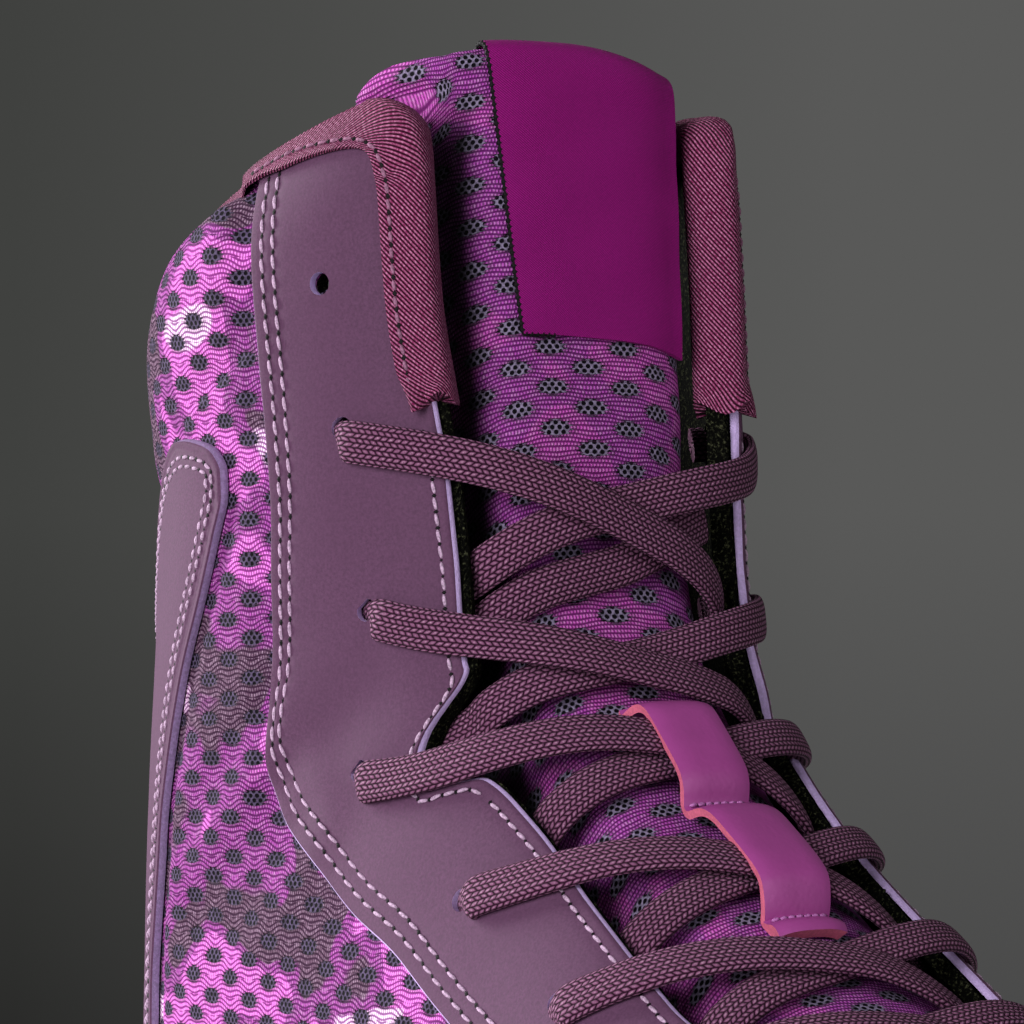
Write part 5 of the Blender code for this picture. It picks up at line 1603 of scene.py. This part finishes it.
def stitch_shape():
    """One stitch as a slim closed grain: rings round its length that narrow to two tips."""
    x = np.array((-0.92, -0.6, 0.0, 0.6, 0.92))
    turns = np.linspace(0, 2 * math.pi, 7)[:-1]
    radius = np.sqrt(1 - x ** 2)[:, None] ** 0.7
    rings = np.stack(np.broadcast_arrays(x[:, None], radius * np.cos(turns), radius * np.sin(turns)), axis=-1)
    points, triangles, _ = swept(rings)
    points[-2:, 0] = (-1.0, 1.0)
    points[:, 2] -= 0.45 * points[:, 0] ** 2
    return points, triangles


def dimple_shape():
    """A small flat eight-sided bead of painted shade for the dip between two stitches."""
    points = np.array(((1, 0, 0), (0, 1, 0), (-1, 0, 0), (0, -1, 0), (0, 0, 1), (0, 0, -1)), float)
    triangles = [(k, (k + 1) % 4, 4) for k in range(4)] + [((k + 1) % 4, k, 5) for k in range(4)]
    return points, np.array(triangles)


def copies(shape, centres, axes, scale):
    """A shape set at each centre along three axes."""
    points, triangles = shape
    scaled = points * scale
    placed = centres[:, None] + sum(scaled[None, :, k:k + 1] * axes[k][:, None] for k in range(3))
    shift = len(points) * np.arange(len(centres))
    return placed.reshape(-1, 3), (triangles[None] + shift[:, None, None]).reshape(-1, 3)


def sew(s, arc, lift, pitch, share=0.66):
    """Stitches, and beads of painted shade in the dips between them, along a line on the form; share is the
    part of the pitch that a stitch fills. Gives points and triangles of both."""
    line = FORM.at(s, arc, lift)
    length = run_length(line)
    at = np.arange(0.5 * pitch, length[-1] - 0.4 * pitch, pitch)

    def frames(places):
        centre = line_at(places, length, line)
        along = unit(line_at(places, length, np.gradient(line, axis=0)))
        normal = FORM.normal(np.interp(places, length, s), np.interp(places, length, arc))
        side = unit(np.cross(normal, along))
        return centre, (along, side, np.cross(along, side))

    centre, axes = frames(at)
    along = unit(axes[0] + 0.12 * axes[1])
    axes = (along, unit(np.cross(axes[2], along)), axes[2])
    wide = 0.5 * millimetres("thread_width")
    scale = np.array((0.5 * share * pitch, wide, wide * 0.85))
    grains = copies(stitch_shape(), centre + 0.12 * axes[2], axes, scale)
    centre, axes = frames(at + 0.5 * pitch)
    # beads of painted shade in the dips between stitches
    dips = copies(dimple_shape(), centre, axes, np.array((0.66 * (1 - share) * pitch, 0.42, 0.24)))
    return grains, dips


def seam_piece(name, seams, thread):
    """One piece from all stitches of like rows, with the painted-shade beads of the dips as its second group.
    """
    points, triangles = stacked([part for seam in seams for part in seam])
    groups = [np.concatenate(triangles[kind::2]) for kind in (0, 1)]
    return piece(name, points, groups, (thread, "black_thread_and_dip_shade"), sharp=80.0)


# How far a stitch's middle lies under the face of its sheet, mm
SUNK = 0.12
# Sections between which the rows beside the throat are sewn
FRONT_RUNS = ((3.25, 6.85), (6.85, 8.45), (8.45, 11.95))


def sew_facing():
    """Double row along the eyestay's rear edge and single rows beside the throat, broken at the notch."""
    top = GAP + EYESTAY_THICK - SUNK
    seams = []
    for side, sign in SIDES:
        s = np.linspace(2.55, COLLAR_ROW - 0.1, 700)
        for distance in REAR_ROWS:
            arc = sign * (facing_edge(s, side) - distance)
            seams.append(sew(s, arc, top + sag(s, arc), millimetres("stitch_pitch"), 0.74))
        for start, stop in FRONT_RUNS:
            s = np.linspace(start, stop, 300)
            arc = sign * (throat_edge(s, side) + set_back(s, side) + FRONT_ROW)
            seams.append(sew(s, arc, top + sag(s, arc), millimetres("front_pitch"), 0.8))
    seam_piece("facing_stitches", seams, "thread")


def sew_counter():
    """Double row up the counter's front edge, round its ear and along its top to the heel seam."""
    seams = []
    top = COUNTER_TOP - 0.02
    rows = np.linspace(8.3, top, 420)
    for side, sign in SIDES:
        edge = sign * counter_edge(rows, side)
        back = np.linspace(abs(edge[-1]) + 0.5, float(FORM.end(COUNTER_TOP, side)) - 1.0, 60)
        s = np.concatenate((rows, np.full(60, top)))
        arc = np.concatenate((edge, sign * back))
        out = edge_ways(s, arc)[1]
        for distance in COUNTER_ROWS:
            moved = (rounded(v, 30) for v in FORM.moved(s, arc, distance * sign * out))
            moved_s, moved_arc = counter_lean(*moved, side)
            lift = GAP + COUNTER_THICK - SUNK + sag(moved_s, moved_arc)
            seams.append(sew(moved_s, moved_arc, lift, 0.75 * millimetres("stitch_pitch")))
    seam_piece("counter_stitches", seams, "thread")


def sew_binding():
    """Row along the tape's inner edge, as far back as the tape is broad."""
    path_s, path_arc = binding_path()
    seams = []
    for mine in (path_arc < 0, path_arc > 0):
        s, arc = path_s[mine], path_arc[mine]
        wide = np.maximum(binding_width(arc) - 1.5, 1.6)
        seen = np.abs(arc) < 60
        line = binding_line(s, arc, wide, edge_ways(s, arc)[1])
        moved_s, moved_arc = (rounded(v, 10)[seen] for v in line)
        seams.append(sew(moved_s, moved_arc, binding_lift(s, arc)[seen] + 0.75, millimetres("front_pitch")))
    seam_piece("binding_stitches", seams, "binding_thread")


def sew_keeper():
    """A close row across the keeper at each place where it is sewn down."""
    arc = KEEPER_MIDDLE + np.linspace(-0.47, 0.47, 60) * KEEPER_WIDTH
    seams = []
    for place, low in KEEPER_SEAMS:
        s = np.full(60, place)
        low = np.maximum(low, tongue_top(s, arc) + KEEPER_CLEAR)
        seams.append(sew(s, arc, low + KEEPER_THICK + 0.3, 0.45 * millimetres("stitch_pitch"), 1.05))
    seam_piece("keeper_stitches", seams, "pink_thread")


# Sole and footbed

class Rim:
    """Points of the feather line on one side with the level way outwards, and the form beside it."""

    def __init__(self):
        grid = FORM.points[::4, ::4] * MM
        rows, cols = grid.shape[:2]
        cells = grid_triangles(rows, cols).reshape(-1, 3)
        corners = [Vector(v) for v in grid.reshape(-1, 3)]
        self.tree = BVHTree.FromPolygons(corners, [tuple(c) for c in cells.tolist()])

    def base(self, s, side):
        """Point of the feather line."""
        sign = dict(SIDES)[side]
        return np.array((section_value("back_x", s), sign * section_value("sole_" + side, s),
                         section_value("back_z", s)), float)

    def way(self, s, side):
        """Level direction square to the feather line, straight along the shoe at its two ends."""
        if s <= 0:
            return np.array((1.0, 0.0, 0.0))
        if s >= HEEL_ROW:
            return np.array((-1.0, 0.0, 0.0))
        step = 0.01
        run = self.base(min(s + step, HEEL_ROW), side) - self.base(max(s - step, 0), side)
        sign = dict(SIDES)[side]
        return unit(np.array((sign * run[1], -sign * run[0], 0.0)))

    def beside(self, s, side, rise):
        """The form's surface straight outwards of the feather line, a given height over it."""
        base = self.base(s, side)
        way = self.way(s, side)
        inside = (base - 18 * way) * MM
        inside[2] = (base[2] + rise) * MM
        inside[1] += 1e-7
        found = np.array(self.tree.ray_cast(Vector(inside), Vector(way), 0.05)[0]) / MM
        if s <= 0 or s >= HEEL_ROW:
            found[1] = 0.0
        return found


def ground(x):
    """Height of the sole's underside: toe spring, flat forefoot, arch, flat heel and heel bevel."""
    toe = TOE_SPRING * np.clip((x - TOE_SPRING_FROM) / (LAST_LENGTH - TOE_SPRING_FROM), 0, None) ** 2
    arch = ARCH_RISE * np.sin(np.pi * np.clip((x - ARCH_FROM) / (ARCH_TO - ARCH_FROM), 0, 1)) ** 2
    heel = HEEL_BEVEL * np.clip((HEEL_BEVEL_FROM - x) / HEEL_BEVEL_FROM, 0, None) ** 2
    return toe + arch + heel


def groove(x):
    """Depth share of the grooves between the lugs: one in a groove, nought on a lug."""
    away = np.min(np.abs(x - np.array(LUG_GROOVES_X)))
    return float(ease((LUG_GROOVE / 2 + 0.4 - away) / 0.8))


# Profile of the sole's side, mm outwards and up: from the lip's top, from the step under it, and from the
# ground under the feather line
LIP_PROFILE = ((2.2 * GAP, 0.0), (0.9, 0.25), (1.6, 0.1), (2.1, -0.5))
STEP_PROFILE = ((2.5, -0.4), (2.6, -0.7), (3.15, -0.9), (3.25, -1.3))
TREAD_PROFILE = ((3.9, 1.6), (3.4, 0.7), (2.9, 0.2), (2.2, 0.0), (-4.4, 0.0))
SOLE_STATIONS = 330
# Profile of the insole's edge, mm inwards and up
INSOLE_PROFILE = ((0.6, 0.0), (0.0, 0.7), (0.0, 2.7), (0.5, 3.4), (1.4, INSOLE_THICK))


def across_rings(stations, profile):
    """Welded points and triangles of rings across the shoe; profile gives one side of a ring."""
    rings = [profile(s, "outer") + profile(s, "inner")[::-1] for s in stations]
    points, triangles, _ = swept(np.array(rings))
    first, tri, _ = weld(points, triangles)
    return points[first], tri


def make_sole():
    """Rubber cup sole: rings across the shoe with a lip, a bulging side wall and a grooved tread."""
    rim = Rim()
    dense = np.linspace(0, HEEL_ROW, 4001)
    outline = np.stack((section_value("back_x", dense), section_value("sole_outer", dense)), axis=-1)
    length = run_length(outline)
    stations = np.interp(np.linspace(0, length[-1], SOLE_STATIONS), length, dense)
    stations[0], stations[-1] = 0.0, float(HEEL_ROW)
    up = np.array((0.0, 0.0, 1.0))
    level = np.array((1.0, 1.0, 0.0))

    def profile(s, side):
        base, way = rim.base(s, side), rim.way(s, side)
        lip = float(lookup(LIP, LIP_COLUMNS, "height", s))
        low, mid, top = (rim.beside(s, side, rise) for rise in (3.0, 5.0, lip))
        floor = float(ground(base[0]))
        cut = LUG_DEPTH * groove(base[0])
        wall_low = (base + 4.2 * way) * level + (floor + 0.35 * (base[2] - floor)) * up
        tread = TREAD_PROFILE + ((-5.0, 0.3 * cut), (-5.4, cut))
        return ([base - GAP * up, low + 2.8 * GAP * way - 0.2 * up]
                + [top + out * way + rise * up for out, rise in LIP_PROFILE]
                + [0.5 * (top + mid) + 2.4 * way - 0.4 * up]
                + [mid + out * way + rise * up for out, rise in STEP_PROFILE]
                + [0.5 * (mid + wall_low) + 1.7 * way - 0.5 * up, wall_low]
                + [(base + out * way) * level + (floor + rise) * up for out, rise in tread])

    points, tri = across_rings(stations, profile)
    # At toe and heel a ring is flat, so that its end cap lies folded on itself and goes
    _, same, times = np.unique(np.sort(tri, axis=1), axis=0, return_inverse=True, return_counts=True)
    tri = tri[times[same.ravel()] == 1]
    piece("sole_rubber", points, [tri], ["rubber"], nodes=["outsole"], turn_out=True,
          sharp=42.0)


def make_footbed():
    """Insole with a rounded edge."""
    rim = Rim()

    def profile(s, side):
        way = rim.way(s, side)
        edge = rim.base(s, side) - INSOLE_INSET * way
        return [edge + np.array((0, 0, 0.05 + rise)) - inset * way for inset, rise in INSOLE_PROFILE]

    points, tri = across_rings(spaced(0.0, (1.0, 24), (9.0, 90), (10.0, 30)), profile)
    piece("footbed", points, [tri], ["footbed"], nodes=["insole"], turn_out=True)


# Stage

CAMERA_PLACE = Vector((0.53158, -0.39582, 0.13652))
CAMERA_AZIMUTH, CAMERA_RISE = 34.0, -1.0
SHOE_MIDDLE = Vector((-0.05, 0.0, 0.14))
# Lights: place from the shoe's middle along the camera's back, right and up, width and height, m
LIGHTS = (("key", 1.0, -0.65, 0.3, 0.7, 0.7), ("fill", 1.0, 0.9, 0.25, 0.9, 0.9),
          ("rim", -0.55, -1.0, 0.35, 0.4, 0.9))
# Backdrop low left, low right, high left and high right
BACKDROP = (tint(36, 36, 35), tint(70, 70, 70), tint(64, 65, 63), tint(89, 89, 88))
# Floor's radius and where it starts to fade, m
FLOOR_RADIUS, FLOOR_CLEAR = 0.6, 0.3


def make_camera():
    """Camera at the photograph's angle, level with the lacing."""
    turn, rise = math.radians(CAMERA_AZIMUTH), math.radians(CAMERA_RISE)
    back = Vector((math.cos(turn) * math.cos(rise), -math.sin(turn) * math.cos(rise), math.sin(rise)))
    right = Vector((math.sin(turn), math.cos(turn), 0.0))
    up = back.cross(right)
    camera = add_object("camera", bpy.data.cameras.new("camera"))
    camera.data.lens = bpy.context.scene.shoe_stage.lens
    camera.data.sensor_width = 36.0
    camera.matrix_world = Matrix.Translation(CAMERA_PLACE) @ Matrix((right, up, back)).transposed().to_4x4()
    bpy.context.scene.camera = camera
    return right, up, back


def make_light(name, place, power, wide, high):
    """Soft area light that faces the shoe's middle."""
    data = bpy.data.lights.new(name, "AREA")
    data.shape = "RECTANGLE"
    data.size, data.size_y = wide, high
    data.energy = power
    lamp = add_object(name, data)
    lamp.location = place
    lamp.rotation_euler = (place - SHOE_MIDDLE).to_track_quat("Z", "Y").to_euler()


def floor_finish():
    """Pale floor that fades out towards its rim."""
    f = Finish("pale floor", Base_Color=tint(196, 194, 192) + (1.0,), Roughness=0.9)
    away = f.node("ShaderNodeVectorMath", {"operation": "LENGTH"}, {0: f.place()}, "Value")
    blend = f.node("ShaderNodeMixShader", {}, {
        0: away.step(FLOOR_CLEAR, FLOOR_RADIUS - 0.02), 1: Value(f, f.shader.outputs[0]),
        2: f.node("ShaderNodeBsdfTransparent")})
    f.tree.links.new(blend.socket, f.tree.nodes["Material Output"].inputs["Surface"])
    return f


def make_backdrop(right, up):
    """Grey backdrop that brightens to the right and darkens downwards, by the direction of view."""
    world = bpy.data.worlds.new("studio")
    world.use_nodes = True
    w = Nodes(world.node_tree)
    view = w.node("ShaderNodeTexCoord", output="Generated")

    def slope(axis, low, high):
        dot = w.node("ShaderNodeVectorMath", {"operation": "DOT_PRODUCT"}, {0: view, 1: axis}, "Value")
        return w.node("ShaderNodeMapRange", {}, {0: dot, 1: low, 2: high})

    across = slope(right, -0.105, 0.07)
    low, high = w.mix(across, *BACKDROP[:2]), w.mix(across, *BACKDROP[2:])
    tone = w.mix(slope(up, -0.13, 0.0), low, high)
    w.tree.links.new(tone.socket, w.tree.nodes["Background"].inputs["Color"])
    return world


def make_stage():
    """Camera, three soft lights, a round floor and the backdrop."""
    right, up, back = make_camera()
    scene = bpy.context.scene
    for name, behind, aside, above, wide, high in LIGHTS:
        place = SHOE_MIDDLE + behind * back + aside * right + above * up
        make_light(name, place, getattr(scene.shoe_stage, name), wide, high)
    turns = np.linspace(0, 2 * math.pi, 129)[:-1]
    mesh = bpy.data.meshes.new("floor")
    rim = np.stack((np.cos(turns), np.sin(turns), 0 * turns), axis=-1) * FLOOR_RADIUS
    mesh.from_pydata([tuple(p) for p in rim], [], [tuple(range(128))])
    mesh.materials.append(floor_finish().material)
    floor = add_object("floor", mesh)
    scene.world = make_backdrop(right, up)
    scene.view_settings.view_transform = "Standard"


# Add-on classes

class SHOE_OT_stage(bpy.types.Operator):
    """Add the camera, lights and floor"""
    bl_idname = "shoe.stage"
    bl_label = "Stage"

    def execute(self, context):
        make_stage()
        return {"FINISHED"}


class SHOE_OT_upper(bpy.types.Operator):
    """Add the knit upper with its lining"""
    bl_idname = "shoe.upper"
    bl_label = "Upper"

    def execute(self, context):
        make_upper()
        return {"FINISHED"}


class SHOE_OT_overlays(bpy.types.Operator):
    """Add the eyestay and the heel counter"""
    bl_idname = "shoe.overlays"
    bl_label = "Overlays"

    def execute(self, context):
        make_eyestay()
        make_counter()
        return {"FINISHED"}


class SHOE_OT_tongue(bpy.types.Operator):
    """Add the tongue with its label and lace keeper"""
    bl_idname = "shoe.tongue"
    bl_label = "Tongue"

    def execute(self, context):
        make_tongue()
        make_label()
        make_keeper()
        return {"FINISHED"}


class SHOE_OT_binding(bpy.types.Operator):
    """Add the collar's twill binding"""
    bl_idname = "shoe.binding"
    bl_label = "Binding"

    def execute(self, context):
        make_binding()
        return {"FINISHED"}


class SHOE_OT_laces(bpy.types.Operator):
    """Run the lace through its holes"""
    bl_idname = "shoe.laces"
    bl_label = "Laces"

    def execute(self, context):
        make_laces()
        return {"FINISHED"}


class SHOE_OT_stitching(bpy.types.Operator):
    """Sew the seams"""
    bl_idname = "shoe.stitching"
    bl_label = "Stitching"

    def execute(self, context):
        sew_facing()
        sew_counter()
        sew_binding()
        sew_keeper()
        return {"FINISHED"}


class SHOE_OT_sole(bpy.types.Operator):
    """Add the rubber sole and the footbed"""
    bl_idname = "shoe.sole"
    bl_label = "Sole"

    def execute(self, context):
        make_sole()
        make_footbed()
        return {"FINISHED"}


class SHOE_PT_panel(bpy.types.Panel):
    bl_label = "Boxing Shoe"
    bl_space_type = "VIEW_3D"
    bl_region_type = "UI"
    bl_category = "Shoe"

    def draw(self, context):
        for operator in OPERATORS:
            self.layout.operator(operator.bl_idname)
        for group in (context.scene.shoe_colours, context.scene.shoe_sizes, context.scene.shoe_stage):
            column = self.layout.column()
            for name in group.__annotations__:
                column.prop(group, name)


OPERATORS = (SHOE_OT_stage, SHOE_OT_upper, SHOE_OT_overlays, SHOE_OT_tongue, SHOE_OT_binding, SHOE_OT_laces,
             SHOE_OT_stitching, SHOE_OT_sole)
CLASSES = (ShoeColours, ShoeSizes, ShoeStage) + OPERATORS + (SHOE_PT_panel,)


def register():
    for cls in CLASSES:
        bpy.utils.register_class(cls)
    bpy.types.Scene.shoe_colours = bpy.props.PointerProperty(type=ShoeColours)
    bpy.types.Scene.shoe_sizes = bpy.props.PointerProperty(type=ShoeSizes)
    bpy.types.Scene.shoe_stage = bpy.props.PointerProperty(type=ShoeStage)


def unregister():
    del bpy.types.Scene.shoe_stage
    del bpy.types.Scene.shoe_sizes
    del bpy.types.Scene.shoe_colours
    for cls in reversed(CLASSES):
        bpy.utils.unregister_class(cls)


def main():
    register()
    for operator in OPERATORS:
        group, name = operator.bl_idname.split(".")
        getattr(getattr(bpy.ops, group), name)()
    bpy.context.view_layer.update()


if __name__ == "__main__":
    main()
